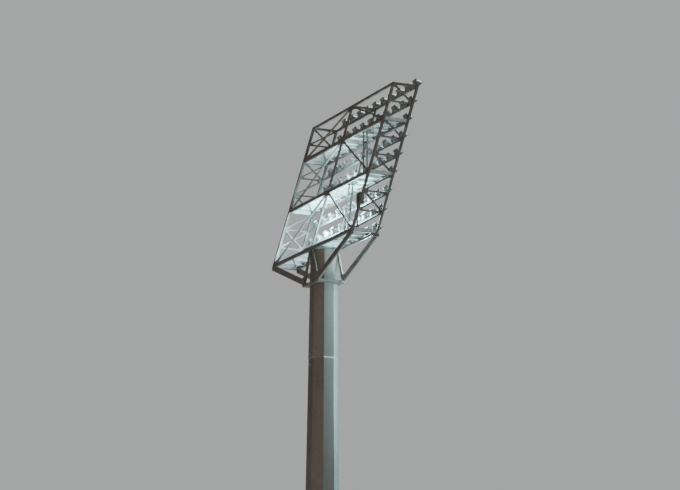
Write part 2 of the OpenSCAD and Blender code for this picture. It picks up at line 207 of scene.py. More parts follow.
levelNodes = ["deck_1_frame", "deck_2_frame", "deck_3_frame", "top_frame"]
levels = [boxMiddle(node).z for node in levelNodes]          # heights of the four frames' centre lines
beamHalf = [boxSize(node).z / 2 for node in levelNodes]
planeDrop = (boxMiddle("deck_1_frame").y - boxMiddle("top_frame").y) / (levels[3] - levels[0])
lean = math.atan(planeDrop)
columnNodes = ["column_near_back", "column_near_front", "column_far_back", "column_far_front"]
columnSide = boxSize("column_far_back").x
halfWidth = boxMiddle("column_far_back").x
beamWidth = boxSize("deck_1_frame").x - 2 * halfWidth
halfDepth = (boxSize("deck_1_frame").y - beamWidth) / 2
beamFace = halfDepth - beamWidth / 2
joistBays = 10
joistPitch = 2 * halfWidth / joistBays
joistHalf = .030
postSide = boxSize("back_posts").x
rowAxes = [Vector(joint["pos_m"]) for joint in sorted(frame["joints"], key=lambda joint: joint["name"])]
rowCount = len(rowAxes)
rowHeights = [axis.z - (rowAxes[0].z - levels[0]) for axis in rowAxes]
deckRows = [min(range(rowCount), key=lambda row: abs(rowHeights[row] - level)) for level in levels]


# The middle of the leaning head at a height
def planeY(z):
    return boxMiddle("deck_1_frame").y - (z - levels[0]) * planeDrop


# Local X runs along the head, Y up the leaning face and Z out of its back
def facePlane(offset):
    return Matrix(((1, 0, 0, 0),
                   (0, -math.sin(lean), math.cos(lean), planeY(levels[0]) + offset),
                   (0, math.cos(lean), math.sin(lean), levels[0]),
                   (0, 0, 0, 1)))


# Local X is the model's Y, local Y is its Z and local Z is its X
def endPlane(x):
    return Matrix(((0, 0, 1, x), (1, 0, 0, 0), (0, 1, 0, 0), (0, 0, 0, 1)))


# Local X stays, local Y is the model's Z and local Z is its -Y
def frontPlane(x, y, z):
    return Matrix(((1, 0, 0, x), (0, 0, -1, y), (0, 1, 0, z), (0, 0, 0, 1)))


print("frame loaded:", len(frame["nodes"]), "nodes,", rowCount, "rows of floodlights")


# Node helpers for the materials

def addNode(tree, kind, **values):
    node = tree.nodes.new(kind)
    for key, value in values.items():
        setattr(node, key, value)
    return node


# Either links a socket or sets its value
def feed(tree, target, value):
    if isinstance(value, bpy.types.NodeSocket):
        tree.links.new(value, target)
    else:
        target.default_value = value


def feedAll(tree, sockets, values):
    for socket, value in zip(sockets, values):
        feed(tree, socket, value)


def mathNode(tree, operation, first, second=0.0, third=0.0, clamp=False):
    node = addNode(tree, "ShaderNodeMath", operation=operation, use_clamp=clamp)
    feedAll(tree, node.inputs, (first, second, third))
    return node.outputs[0]


def times(tree, first, second):
    return mathNode(tree, "MULTIPLY", first, second)


def timesPlus(tree, first, second, third, clamp=False):
    return mathNode(tree, "MULTIPLY_ADD", first, second, third, clamp)


def rangeNode(tree, value, fromLow, fromHigh, toLow=0.0, toHigh=1.0):
    node = addNode(tree, "ShaderNodeMapRange", interpolation_type="SMOOTHSTEP")
    feedAll(tree, node.inputs, (value, fromLow, fromHigh, toLow, toHigh))
    return node.outputs[0]


def mixNode(tree, amount, first, second, blend="MIX"):
    node = addNode(tree, "ShaderNodeMix", data_type="RGBA", blend_type=blend, clamp_factor=True)
    feedAll(tree, (node.inputs["Factor"], node.inputs[6], node.inputs[7]), (amount, first, second))
    return node.outputs[2]


def scaledPlace(tree, place, scale):
    node = addNode(tree, "ShaderNodeMapping")
    feedAll(tree, (node.inputs["Vector"], node.inputs["Scale"]), (place, scale))
    return node.outputs[0]


def noiseNode(tree, place, scale, detail=4.0, roughness=0.55, distortion=0.0):
    node = addNode(tree, "ShaderNodeTexNoise")
    sockets = [node.inputs[key] for key in ("Vector", "Scale", "Detail", "Roughness", "Distortion")]
    feedAll(tree, sockets, (place, scale, detail, roughness, distortion))
    return node.outputs["Fac"]


def cellNode(tree, place, scale, **values):
    node = addNode(tree, "ShaderNodeTexVoronoi", **values)
    feedAll(tree, (node.inputs["Vector"], node.inputs["Scale"]), (place, scale))
    return node.outputs


def splitNode(tree, vector):
    node = addNode(tree, "ShaderNodeSeparateXYZ")
    feed(tree, node.inputs[0], vector)
    return node.outputs


def textureCoords(tree):
    return addNode(tree, "ShaderNodeTexCoord").outputs


# A group's inputs are {name: default}, and its outputs are names; only "Colour" is a colour
def startGroup(name, inputs, outputs):
    group = bpy.data.node_groups.new(name, "ShaderNodeTree")
    kinds = {True: "NodeSocketColor", False: "NodeSocketFloat"}
    for key, value in inputs.items():
        socket = group.interface.new_socket(key, in_out="INPUT", socket_type=kinds[key == "Colour"])
        socket.default_value = value
    for key in outputs:
        group.interface.new_socket(key, in_out="OUTPUT", socket_type=kinds[key == "Colour"])
    return group, addNode(group, "NodeGroupInput").outputs, addNode(group, "NodeGroupOutput").inputs


# Hot-dip zinc with crystals, dull patches, run-off streaks, rust spots and settled dust
zincLook = {
    "crystalScale": 75, "streakStretch": (9.0, 9.0, .42), "dullTint": (.66, .60, .53, 1),
    "chalk": (.47, .47, .46, 1), "streak": (.075, .066, .056, 1), "rust": (.15, .065, .028, 1),
    "dust": (.23, .205, .17, 1),
}


def makeZincCoat():
    group, given, result = startGroup("zincCoat", {
        "Colour": (.3, .28, .26, 1), "Gloss": .5, "Crystals": 1.0, "Patches": 1.0, "Streaks": 1.0, "Rust": .3,
        "Dust": .5}, ("Colour", "Roughness", "Height"))
    coords = textureCoords(group)
    place = coords["Object"]
    upright = splitNode(group, coords["Normal"])[2]
    steep = mathNode(group, "SUBTRACT", 1.0, mathNode(group, "ABSOLUTE", upright))
    upward = rangeNode(group, upright, .35, .95)

    crystal = addNode(group, "ShaderNodeSeparateColor")
    feed(group, crystal.inputs[0], cellNode(group, place, zincLook["crystalScale"])["Color"])
    crystalTone = mathNode(group, "SUBTRACT", crystal.outputs[0], .5)
    fine = noiseNode(group, place, 55.0, 5.0, .6)
    broad = noiseNode(group, place, 1.15, 5.0, .6, .3)
    dull = times(group, rangeNode(group, broad, .44, .64), given["Patches"])
    chalkNoise = noiseNode(group, place, 4.3, 6.0, .65, .5)
    chalk = times(group, rangeNode(group, chalkNoise, .56, .72), given["Patches"])
    streakNoise = noiseNode(group, scaledPlace(group, place, zincLook["streakStretch"]), 1.0, 5.0, .62)
    streak = times(group, rangeNode(group, streakNoise, .48, .68), times(group, steep, given["Streaks"]))
    spotNoise = noiseNode(group, place, 7.5, 9.0, .72, .4)
    spot = times(group, rangeNode(group, spotNoise, .62, .72), given["Rust"])
    settled = times(group, times(group, upward, given["Dust"]), rangeNode(group, chalkNoise, .34, .6))

    tone = timesPlus(group, times(group, crystalTone, given["Crystals"]), .17, 1.0)
    tone = times(group, tone, timesPlus(group, fine, .22, .89))
    grey = addNode(group, "ShaderNodeCombineColor")
    feedAll(group, grey.inputs[:3], [tone] * 3)
    colour = mixNode(group, 1.0, given["Colour"], grey.outputs[0], "MULTIPLY")
    colour = mixNode(group, times(group, dull, .55), colour,
                     mixNode(group, 1.0, colour, zincLook["dullTint"], "MULTIPLY"))
    colour = mixNode(group, times(group, chalk, .4), colour, zincLook["chalk"])
    colour = mixNode(group, times(group, streak, .5), colour, zincLook["streak"])
    colour = mixNode(group, spot, colour, zincLook["rust"])
    colour = mixNode(group, settled, colour, zincLook["dust"])

    rough = timesPlus(group, crystalTone, .2, given["Gloss"])
    rough = timesPlus(group, mathNode(group, "ADD", dull, chalk), .1, rough)
    rough = timesPlus(group, mathNode(group, "ADD", spot, settled), .3, rough, clamp=True)
    height = timesPlus(group, crystalTone, .25, times(group, fine, .6))
    height = timesPlus(group, spot, .8, height)
    feedAll(group, result[:3], (colour, rough, height))
    return group


# 1 along worn edges and corners, 0 on the flats
def makeEdgeWear():
    group, given, result = startGroup("edgeWear", {"Width": .006, "Breakup": 30.0}, ["Mask"])
    rounded = addNode(group, "ShaderNodeBevel", samples=4)
    feed(group, rounded.inputs["Radius"], given["Width"])
    likeness = addNode(group, "ShaderNodeVectorMath", operation="DOT_PRODUCT")
    normal = addNode(group, "ShaderNodeNewGeometry").outputs["Normal"]
    feedAll(group, likeness.inputs, (rounded.outputs[0], normal))
    edge = rangeNode(group, likeness.outputs["Value"], .995, .86)
    broken = noiseNode(group, textureCoords(group)["Object"], given["Breakup"], 6.0, .7)
    feed(group, result["Mask"], times(group, edge, rangeNode(group, broken, .36, .62)))
    return group


# Raised lozenges at right angles to each other, on upward faces only
def makeTreadPattern():
    group, given, result = startGroup("treadPattern", {"Pitch": .036}, ["Height"])
    coords = textureCoords(group)
    spot = splitNode(group, coords["Object"])
    across, along = (mathNode(group, "DIVIDE", spot[i], given["Pitch"]) for i in (0, 1))
    cell = mathNode(group, "ADD", mathNode(group, "FLOOR", across), mathNode(group, "FLOOR", along))
    u, v = (mathNode(group, "SUBTRACT", mathNode(group, "FRACT", way), .5) for way in (across, along))
    turn = timesPlus(group, mathNode(group, "PINGPONG", cell, 1.0), 2.0, -1.0)
    turned = times(group, v, turn)
    length, width = (mathNode(group, operation, u, turned) for operation in ("ADD", "SUBTRACT"))
    shape = mathNode(group, "ADD", *(mathNode(group, "POWER", times(group, way, squeeze), 2.0)
                                     for way, squeeze in ((length, 1.5), (width, 5.0))))
    upright = rangeNode(group, splitNode(group, coords["Normal"])[2], .7, .9)
    feed(group, result["Height"], times(group, rangeNode(group, shape, .75, .45), upright))
    return group


groups = {"zincCoat": makeZincCoat(), "edgeWear": makeEdgeWear(), "treadPattern": makeTreadPattern()}


def placeGroup(tree, name, **values):
    node = addNode(tree, "ShaderNodeGroup", node_tree=groups[name])
    for key, value in values.items():
        feed(tree, node.inputs[key], value)
    return node.outputs


materials = {}


def startMaterial(name, **sockets):
    material = bpy.data.materials.new(name)
    material.use_nodes = True
    materials[name] = material
    tree = material.node_tree
    shader = tree.nodes["Principled BSDF"]
    for key, value in sockets.items():
        shader.inputs[key.replace("_", " ")].default_value = value
    return tree, shader.inputs


# Colour, roughness and a bump height; strength and distance are the bump's
def setSurface(tree, shader, colour, roughness, height, strength, distance):
    bump = addNode(tree, "ShaderNodeBump")
    feedAll(tree, [bump.inputs[key] for key in ("Strength", "Distance", "Height")],
            (strength, distance, height))
    feedAll(tree, [shader[key] for key in ("Base Color", "Roughness", "Normal")],
            (colour, roughness, bump.outputs[0]))


# Colour, metallic, gloss and the amounts of crystals, patches, streaks, rust, dust and bump
zincFinishes = {
    "shaftZinc": ((.198, .166, .142), .45, .46, .6, .45, .4, .06, .3, .2),
    "frameZinc": ((.222, .192, .166), .45, .52, 1.0, 1.0, .7, .22, .5, .3),
    "railZinc": ((.33, .318, .298), .5, .46, 1.0, .8, .5, .12, .4, .3),
    "stirrupZinc": ((.22, .207, .19), .5, .48, .8, .9, .5, .30, .4, .3),
    "boltZinc": ((.38, .365, .34), .7, .42, .3, .6, .2, .55, .4, .3),
    "footZinc": ((.235, .222, .205), .45, .55, 1.1, 1.1, 1.1, .45, .9, .45),
    "weldBead": ((.25, .235, .215), .5, .5, .2, 1.0, .6, .6, .3, .8),
    # The pale finish of the seal rings' -X side is a painted highlight
    "jointPaint": ((.74, .75, .74), .35, .45, .1, .7, .5, .15, .2, .5),
}
# Edge wear of the zinc, the bump's depth, and the joists' pale colour, which is a painted highlight for the light
# from below
zincWearAndJoistHighlight = {"colour": (.44, .43, .41, 1), "width": .006, "amount": .35, "polish": -.12, "deep": .0025,
            "joist": (.70, .70, .685, 1)}


# Joists between two frame beams are painted paler, a painted highlight for the light from below that falls on
# them: inner is (middle Y, half depth, lowest Z)
def zincMaterial(name, finish, inner=None):
    colour, metal, gloss, crystals, patches, streaks, rust, dust, bump = finish
    tree, shader = startMaterial(name, Metallic=metal)
    colour = (*colour, 1)
    if inner:
        place = splitNode(tree, textureCoords(tree)["Object"])
        away = mathNode(tree, "ABSOLUTE", mathNode(tree, "SUBTRACT", place[1], inner[0]))
        # The joists' zone, where the painted highlight goes
        between = times(tree, mathNode(tree, "LESS_THAN", away, inner[1]),
                        mathNode(tree, "GREATER_THAN", place[2], inner[2]))
        colour = mixNode(tree, between, colour, zincWearAndJoistHighlight["joist"])
    coat = placeGroup(tree, "zincCoat", Colour=colour, Gloss=gloss, Crystals=crystals, Patches=patches,
                      Streaks=streaks, Rust=rust, Dust=dust)
    worn = placeGroup(tree, "edgeWear", Width=zincWearAndJoistHighlight["width"])["Mask"]
    colour = mixNode(tree, times(tree, worn, zincWearAndJoistHighlight["amount"]), coat["Colour"], zincWearAndJoistHighlight["colour"])
    setSurface(tree, shader, colour, timesPlus(tree, worn, zincWearAndJoistHighlight["polish"], coat["Roughness"], clamp=True),
               coat["Height"], bump, zincWearAndJoistHighlight["deep"])


# Tread plate, paler and cleaner than the frames
def deckMaterial():
    tree, shader = startMaterial("deckSheet", Metallic=.25)
    coat = placeGroup(tree, "zincCoat", Colour=(.80, .80, .785, 1), Gloss=.46, Crystals=.6, Patches=.25,
                      Streaks=.3, Rust=.12, Dust=.28)
    tread = placeGroup(tree, "treadPattern", Pitch=.036)["Height"]
    setSurface(tree, shader, mixNode(tree, times(tree, tread, .3), coat["Colour"], (.7, .7, .69, 1)),
               timesPlus(tree, tread, -.15, coat["Roughness"], clamp=True),
               timesPlus(tree, coat["Height"], .25, tread), .6, .003)


# Spun aluminium: cloudy oxide, fine scratches and grime in streaks
shellLook = {"colour": (.41, .404, .39, 1), "oxide": (.325, .318, .305, 1), "grime": (.085, .078, .068, 1),
             "worn": (.56, .56, .55, 1), "gloss": .28, "grimeStretch": (14.0, 14.0, 5.0)}


def housingMaterial():
    tree, shader = startMaterial("lampShell", Metallic=.75)
    place = textureCoords(tree)["Object"]
    cloud = noiseNode(tree, place, 6.5, 6.0, .62, .4)
    fine = noiseNode(tree, place, 90.0, 4.0, .6)
    grimeNoise = noiseNode(tree, scaledPlace(tree, place, shellLook["grimeStretch"]), 1.0, 6.0, .7)
    grime = rangeNode(tree, grimeNoise, .48, .72)
    worn = placeGroup(tree, "edgeWear", Width=.004)["Mask"]
    colour = mixNode(tree, rangeNode(tree, cloud, .38, .66), shellLook["colour"], shellLook["oxide"])
    colour = mixNode(tree, times(tree, grime, .6), colour, shellLook["grime"])
    colour = mixNode(tree, times(tree, worn, .4), colour, shellLook["worn"])
    rough = timesPlus(tree, cloud, .24, shellLook["gloss"])
    setSurface(tree, shader, colour, timesPlus(tree, grime, .28, rough, clamp=True),
               timesPlus(tree, fine, .6, times(tree, cloud, .5)), .25, .0007)


# Anodised mirror with a faint hammered skin and a dusty bloom
def reflectorMaterial():
    tree, shader = startMaterial("reflectorSkin", Metallic=1.0)
    place = textureCoords(tree)["Object"]
    hammered = cellNode(tree, place, 70, feature="SMOOTH_F1")["Distance"]
    bloom = noiseNode(tree, place, 9.0, 5.0, .6)
    colour = mixNode(tree, rangeNode(tree, bloom, .42, .68), (.86, .87, .87, 1), (.62, .63, .62, 1))
    setSurface(tree, shader, colour, rangeNode(tree, bloom, .35, .75, .13, .36), hammered, .35, .003)


def glassMaterial():
    tree, shader = startMaterial("frontGlass", Transmission_Weight=.92, IOR=1.5, Metallic=0.0)
    place = textureCoords(tree)["Object"]
    dust = rangeNode(tree, noiseNode(tree, place, 7.0, 7.0, .68), .54, .80)
    setSurface(tree, shader, mixNode(tree, dust, (.90, .96, .96, 1), (.62, .61, .57, 1)),
               timesPlus(tree, dust, .16, .025), noiseNode(tree, place, 30.0, 2.0), .05, .001)


# The arc tube glows with a slight flicker along its length
def glowMaterial():
    tree, shader = startMaterial("arcTube", Roughness=.3, Emission_Strength=14.0)
    flicker = noiseNode(tree, textureCoords(tree)["Object"], 40.0, 2.0)
    colour = mixNode(tree, rangeNode(tree, flicker, .4, .6), (.62, .92, 1.0, 1), (.85, .98, 1.0, 1))
    feedAll(tree, (shader["Base Color"], shader["Emission Color"]), (colour, colour))


# Matt finishes that vary a little in tone and gloss, with patches and streaks of dirt: colour, soil, metallic,
# gloss, scale of the clouds and bump
mattFinishes = {
    "ceramic": ((.70, .67, .60), (.30, .26, .20), 0.0, .35, 22, .15),
    "rubberSeal": ((.022, .022, .023), (.09, .085, .075), 0.0, .7, 30, .4),
    "cablePlastic": ((.03, .031, .033), (.12, .11, .10), 0.0, .48, 24, .25),
    "gearPaint": ((.105, .108, .112), (.20, .185, .16), 0.0, .42, 5, .35),
    "lockBrass": ((.42, .33, .17), (.10, .08, .05), .8, .35, 40, .3),
}


def mattMaterial(name, plain, soiled, metal, gloss, scale, bump):
    tree, shader = startMaterial(name, Metallic=metal)
    place = textureCoords(tree)["Object"]
    cloud = noiseNode(tree, place, scale, 6.0, .65)
    streak = noiseNode(tree, scaledPlace(tree, place, (12.0, 12.0, 1.1)), 1.0, 5.0, .65)
    soil = mathNode(tree, "MAXIMUM", rangeNode(tree, cloud, .52, .74), rangeNode(tree, streak, .56, .74))
    worn = placeGroup(tree, "edgeWear", Width=.004)["Mask"]
    colour = mixNode(tree, times(tree, soil, .55), (*plain, 1), (*soiled, 1))
    brighter = tuple(min(1.0, c * 2.2 + .05) for c in plain)
    colour = mixNode(tree, times(tree, worn, .4), colour, (*brighter, 1))
    grain = noiseNode(tree, place, 220.0, 4.0, .7)
    setSurface(tree, shader, colour, timesPlus(tree, soil, .25, gloss, clamp=True), grain, bump, .0008)


for finishName, finish in zincFinishes.items():
    zincMaterial(finishName, finish)
# Each deck frame's material paints the pale joist highlight over its joists
for number in range(3):
    inner = (boxMiddle(levelNodes[number]).y, beamFace - .001, levels[number] - beamHalf[number] + .013)
    zincMaterial(f"deckFrameZinc{number + 1}", zincFinishes["frameZinc"], inner)
deckMaterial()
housingMaterial()
reflectorMaterial()
glassMaterial()
glowMaterial()
for finishName, finish in mattFinishes.items():
    mattMaterial(finishName, *finish)
print("all", len(materials), "materials ready")


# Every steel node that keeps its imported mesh: its material and how far its edges are rounded
keptNodes = {
    "head_plate": ("frameZinc", .004), "collar": ("frameZinc", .005), "top_frame": ("frameZinc", .008),
    "struts_front": ("frameZinc", .012), "struts_back": ("frameZinc", .012),
    "back_posts": ("frameZinc", .008), "front_posts": ("frameZinc", .008),
    "end_truss_near": ("frameZinc", .006), "end_truss_far": ("frameZinc", .006),
    "back_bracing": ("frameZinc", .006), "front_rails": ("railZinc", .006),
    "ladder_lower": ("railZinc", .003), "ladder_upper": ("railZinc", .003), "gear_post": ("frameZinc", .005),
    "base_flange": ("footZinc", .005), "base_gussets": ("footZinc", .002), "door_frame": ("footZinc", .004),
}
keptNodes.update({node: ("frameZinc", .010) for node in columnNodes})
keptNodes.update({f"deck_{n}_frame": (f"deckFrameZinc{n}", .008) for n in (1, 2, 3)})
keptNodes.update({f"deck_{n}_floor": ("deckSheet", .0015) for n in (1, 2, 3)})
keptNodes.update({f"stirrups_{row}": ("stirrupZinc", .0018) for row in range(1, rowCount + 1)})
rounding = {"mergeWithin": .00005, "segments": 2, "sharpAngle": 34}

for nodeName, (finish, width) in keptNodes.items():
    node = frame["nodes"][nodeName]
    node.data.materials.clear()
    node.data.materials.append(materials[finish])
    node.modifiers.new("weld", "WELD").merge_threshold = rounding["mergeWithin"]
    rounded = node.modifiers.new("roundedEdges", "BEVEL")
    rounded.width = width
    rounded.segments = rounding["segments"]
    rounded.limit_method = "ANGLE"
    rounded.angle_limit = math.radians(rounding["sharpAngle"])
    rounded.harden_normals = True
print("kept nodes finished:", len(keptNodes))


# One floodlight about its tilt pins: local Z is the way it shines, the pins run along X. The profiles count
# outwards and forwards from the rim's front edge, or from the cap's side and back where they are so named
lamp = {
    "aim": 47, "front": .115, "rim": .210, "depth": .290, "cap": .095, "turns": 36, "clips": 4,
    "clipTurn": math.pi / 4, "clipRod": (.014, .0035), "fins": 14, "finHalf": .0022, "leverHalf": .011,
    "capBolts": 4, "capBoltTurn": .4, "capBoltReach": .72, "smallBolt": (.010, .005),
    "pinBolt": (.024, .010), "armSpan": .222, "pinSpan": .234, "pinRadius": .0078, "pinBoltIn": .0055,
    "pinEndPlay": .006, "spacing": .7, "mirrorSkin": .0015,
}
lampRim = ((-.013, -.010), (-.013, -.002), (-.007, 0), (-.002, -.003), (0, -.009), (0, -.026), (-.003, -.032),
           (-.011, -.036), (-.0125, -.044), (-.018, -.066), (-.026, -.092), (-.038, -.119), (-.055, -.147),
           (-.076, -.173), (-.098, -.196))
lampNeck = ((.008, -.213), (.001, -.224))
lampCapBack = ((0, .052), (0, .020), (.004, .018), (.004, .009), (-.004, .004), (-.022, 0))
lampInside = ((-.014, -.012), (-.024, -.042), (-.040, -.080), (-.064, -.120), (-.096, -.158), (-.130, -.184),
              (-.168, -.196))
lampSeamBack = ((.006, .056), (.010, .053), (.010, .047), (.006, .044))
lampFinBack = ((-.003, .024), (.016, .026), (.016, .040), (.006, .046), (-.003, .046))
lampLever = ((-.004, -.040), (.007, -.036), (.008, -.004), (.001, .003), (-.016, .002), (-.016, -.001),
             (-.001, -.001), (.002, -.008), (.001, -.034))
lampSeal = ((-.0135, -.0125), (-.0125, -.0095), (-.016, -.0075), (-.020, -.0095), (-.019, -.0125))
# These count from the lamp's axis
lampBoss = ((0, .150), (.030, .150), (.026, .182), (.025, .208), (.021, .215), (0, .215))
lampGland = ((0, 0), (.017, 0), (.017, .010), (.013, .012), (.013, .022), (.010, .030), (0, .030))
lampSocket = ((0, -.2005), (.030, -.2005), (.030, -.176), (.024, -.172), (.024, -.160), (0, -.160))
lampBulb = ((0, -.162), (.020, -.160), (.022, -.150), (.023, -.120), (.023, -.070), (.019, -.052),
            (.010, -.044), (0, -.042))
lampArc = ((0, -.130), (.007, -.128), (.010, -.118), (.010, -.090), (.007, -.080), (0, -.078))


def lampShapes():
    rim, front, cap, turns = lamp["rim"], lamp["front"], lamp["cap"], lamp["turns"]
    back = front - lamp["depth"]
    stand = Matrix.Rotation(math.pi / 2, 4, "X")
    shell = shifted(lampRim, rim, front) + shifted(lampNeck, cap, front) + shifted(lampCapBack, cap, back)
    inside = shifted(lampInside, rim, front) + [(.034, front - .200)]
    # A lathe's outside lies on the right of its profile, so the shell runs from the back to the front
    skin = [(r, z - lamp["mirrorSkin"]) for r, z in inside]
    closed = [(0, back)] + shell[::-1] + skin + [(0, front - .2015)]
    housing = [latheShape(closed, turns), latheShape(shifted(lampSeamBack, cap, back), turns)]
    for n in range(lamp["fins"]):
        fin = plateShape(shifted(lampFinBack, cap, back), -lamp["finHalf"], lamp["finHalf"])
        housing.append(placed(fin, Matrix.Rotation(2 * math.pi * (n + .5) / lamp["fins"], 4, "Z") @ stand))
    collarEnd = lamp["armSpan"] - .0005
    for side in (-1, 1):
        boss = latheShape(lampBoss, 18)
        collar = latheShape([(0, .214), (.016, .214), (.016, collarEnd), (0, collarEnd)], 14)
        housing += [placed(part, Matrix.Rotation(side * math.pi / 2, 4, "Y")) for part in (boss, collar)]

    fittings = []
    clipHalf, clipRadius = lamp["clipRod"]
    for n in range(lamp["clips"]):
        upright = Matrix.Rotation(lamp["clipTurn"] + n * math.pi / 2, 4, "Z") @ stand
        lever = plateShape(shifted(lampLever, rim, front), -lamp["leverHalf"], lamp["leverHalf"])
        rod = rodShape(*((rim + .004, front - .034, z) for z in (-clipHalf, clipHalf)), clipRadius, 8)
        fittings += [placed(lever, upright), placed(rod, upright)]
    for n in range(lamp["capBolts"]):
        angle = n * math.pi / 2 + lamp["capBoltTurn"]
        reach = lamp["capBoltReach"]
        spot = Vector((math.cos(angle) * cap * reach, math.sin(angle) * cap * reach, back + .0015))
        fittings.append(placed(boltShape(*lamp["smallBolt"]), facing((0, 0, -1), spot)))
    for side in (-1, 1):
        headAt = (side * (lamp["pinSpan"] - lamp["pinBoltIn"]), 0, 0)
        ends = [(side * lamp[key], 0, 0) for key in ("armSpan", "pinSpan")]
        fittings += [rodShape(*ends, lamp["pinRadius"]),
                     placed(boltShape(*lamp["pinBolt"]), facing((side, 0, 0), headAt))]

    # The gland under the cap is on the side that hangs down when the lamp is aimed
    gland = placed(latheShape(lampGland, 12), facing((0, -1, -.15), (0, -cap + .001, back + .036)))
    glassBack, glassFront = front - .0095, front - .0045
    glass = [(0, glassBack), (rim - .015, glassBack), (rim - .015, glassFront), (0, glassFront)]
    return {"housing": joined(housing), "fittings": joined(fittings),
            "plastic": joined([gland, latheShape(shifted(lampSeal, rim, front), turns)]),
            "mirror": latheShape(inside[::-1], turns), "glass": latheShape(glass, turns),
            "socket": latheShape(shifted(lampSocket, 0, front), 16),
            "bulb": latheShape(shifted(lampBulb, 0, front), 16),
            "arc": latheShape(shifted(lampArc, 0, front), 12)}


# Centres of a row's tilt pins, spaced over the width of its packed stirrups
def lampPlaces(row):
    pinReach = boxSize(f"stirrups_{row}").x / 2
    count = round((2 * pinReach - 2 * lamp["armSpan"]) / lamp["spacing"]) + 1
    outermost = pinReach - lamp["armSpan"] - lamp["pinEndPlay"]
    axis = rowAxes[row - 1]
    return [Vector((-outermost + 2 * outermost * i / (count - 1), axis.y, axis.z)) for i in range(count)]


lampParts = lampShapes()
tilted = Matrix.Rotation(math.radians(90 + lamp["aim"]), 4, "X")
for row in range(1, rowCount + 1):
    spots = [Matrix.Translation(place) @ tilted for place in lampPlaces(row)]
    line = {part: joined([placed(shape, spot) for spot in spots]) for part, shape in lampParts.items()}
    body = f"row_{row}"
    makePiece(f"floodlight_housings_{row}", {"lampShell": line["housing"], "boltZinc": line["fittings"]},
              body, [f"lamps_{row}"])
    makePiece(f"floodlight_seals_{row}", {"cablePlastic": line["plastic"]}, body)
    makePiece(f"floodlight_reflectors_{row}", {"reflectorSkin": line["mirror"], "ceramic": line["socket"],
                                               "arcTube": line["arc"]}, body)
    makePiece(f"floodlight_glass_{row}", {"frontGlass": [line["glass"], line["bulb"]]}, body)
print("floodlights made in", rowCount, "rows")


# The shaft: three folded octagonal sections, each slipped over the one below
shaftFold = {"wall": .010, "bendRadius": .036, "bendSteps": 5, "seamWidth": .016, "seamHeight": .0035,
             "sealLeg": .036, "doorHalf": .210, "doorSill": .650, "doorHead": 1.950, "lugRise": .16,
             "lugDrop": .24, "lugPad": (.090, .090, .012), "lugNut": (.050, .036)}
shaftTaper = ((boxSize("shaft_upper").x - boxSize("head_plate").x) / 2
              / (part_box("head_plate")[0].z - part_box("shaft_upper")[0].z))
halfSide = math.radians(22.5)


# Half the width across flats of a shaft section at height z
def shaftHalf(node, z):
    return boxSize(node).x / 2 - shaftTaper * (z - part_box(node)[0].z)


# One turn round the shaft; with a notch it also has two stops on the side that faces +Y
def foldedRing(half, z, bend, notch=0.0):
    ring, steps = [], shaftFold["bendSteps"]
    out = (half - bend) / math.cos(halfSide)
    for side in range(8):
        corner = math.radians(22.5 + 45 * side)
        for step in range(steps + 1):
            angle = corner + halfSide * (2 * step / steps - 1)
            ring.append([out * math.cos(corner) + bend * math.cos(angle),
                         out * math.sin(corner) + bend * math.sin(angle), z])
        if notch and side == 1:
            ring += [[notch, half, z], [-notch, half, z]]
    return ring


# Quads between rings of equal length; skipped holds (band, column) pairs left open
def bandShape(rings, skipped=()):
    count = len(rings[0])
    faces = [[band * count + i, band * count + (i + 1) % count, (band + 1) * count + (i + 1) % count,
              (band + 1) * count + i]
             for band in range(len(rings) - 1) for i in range(count) if (band, i) not in skipped]
    return np.array([point for ring in rings for point in ring]), faces


# Part of the way round only: an open strip over the given columns of the rings
def stripShape(rings, columns):
    picked = [[ring[i % len(ring)] for i in columns] for ring in rings]
    last = len(columns) - 1
    return bandShape(picked, {(band, last) for band in range(len(rings) - 1)})


# Outlines of equal length at rising heights, closed at both ends: [(outline, z), ...]
def stackShape(layers):
    points, faces = bandShape([[[x, y, z] for x, y in outline] for outline, z in layers])
    count, last = len(layers[0][0]), len(points)
    return points, [list(range(count))[::-1]] + faces + [list(range(last - count, last))]


# The rings run from the inner bottom edge round the outside to the top, then back down the inside
def shaftShape(node, withDoor):
    low, high = (corner.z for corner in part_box(node))
    wall, bend = shaftFold["wall"], shaftFold["bendRadius"]
    notch = shaftFold["doorHalf"] if withDoor else 0
    heights = [low + .004, high]
    if withDoor:
        heights[1:1] = [shaftFold["doorSill"], shaftFold["doorHead"]]
    rings = [foldedRing(shaftHalf(node, low) - wall, low, bend - wall, notch),
             foldedRing(shaftHalf(node, low) - .002, low, bend, notch)]
    rings += [foldedRing(shaftHalf(node, z), z, bend, notch) for z in heights]
    rings += [foldedRing(shaftHalf(node, z) - wall, z, bend - wall, notch) for z in reversed(heights)]
    rings.append(rings[0])
    at = 2 * (shaftFold["bendSteps"] + 1)
    points, faces = bandShape(rings, {(3, at), (7, at)} if withDoor else ())
    if withDoor:
        outSill, outHead, inHead, inSill = (ring * len(rings[0]) + at for ring in (3, 4, 7, 8))
        faces += [[outSill, outSill + 1, inSill + 1, inSill], [outHead + 1, outHead, inHead, inHead + 1],
                  [outHead, outSill, inSill, inHead], [outSill + 1, outHead + 1, inHead + 1, inSill + 1]]
    return points, faces


# A half-round bead from start to end, standing out along outward
def beadShape(start, end, outward, width, height, across=5):
    start, end, outward = Vector(start), Vector(end), Vector(outward).normalized()
    sideways = (end - start).cross(outward).normalized()
    section = [(math.cos(math.pi * i / across) * width / 2, math.sin(math.pi * i / across) * height)
               for i in range(across + 1)]
    points = [list(at + sideways * s + outward * o) for at in (start, end) for s, o in section]
    n = len(section)
    faces = [[i, i + 1, n + i + 1, n + i] for i in range(n - 1)]
    return np.array(points), faces + [list(range(n))[::-1], list(range(n, 2 * n))]


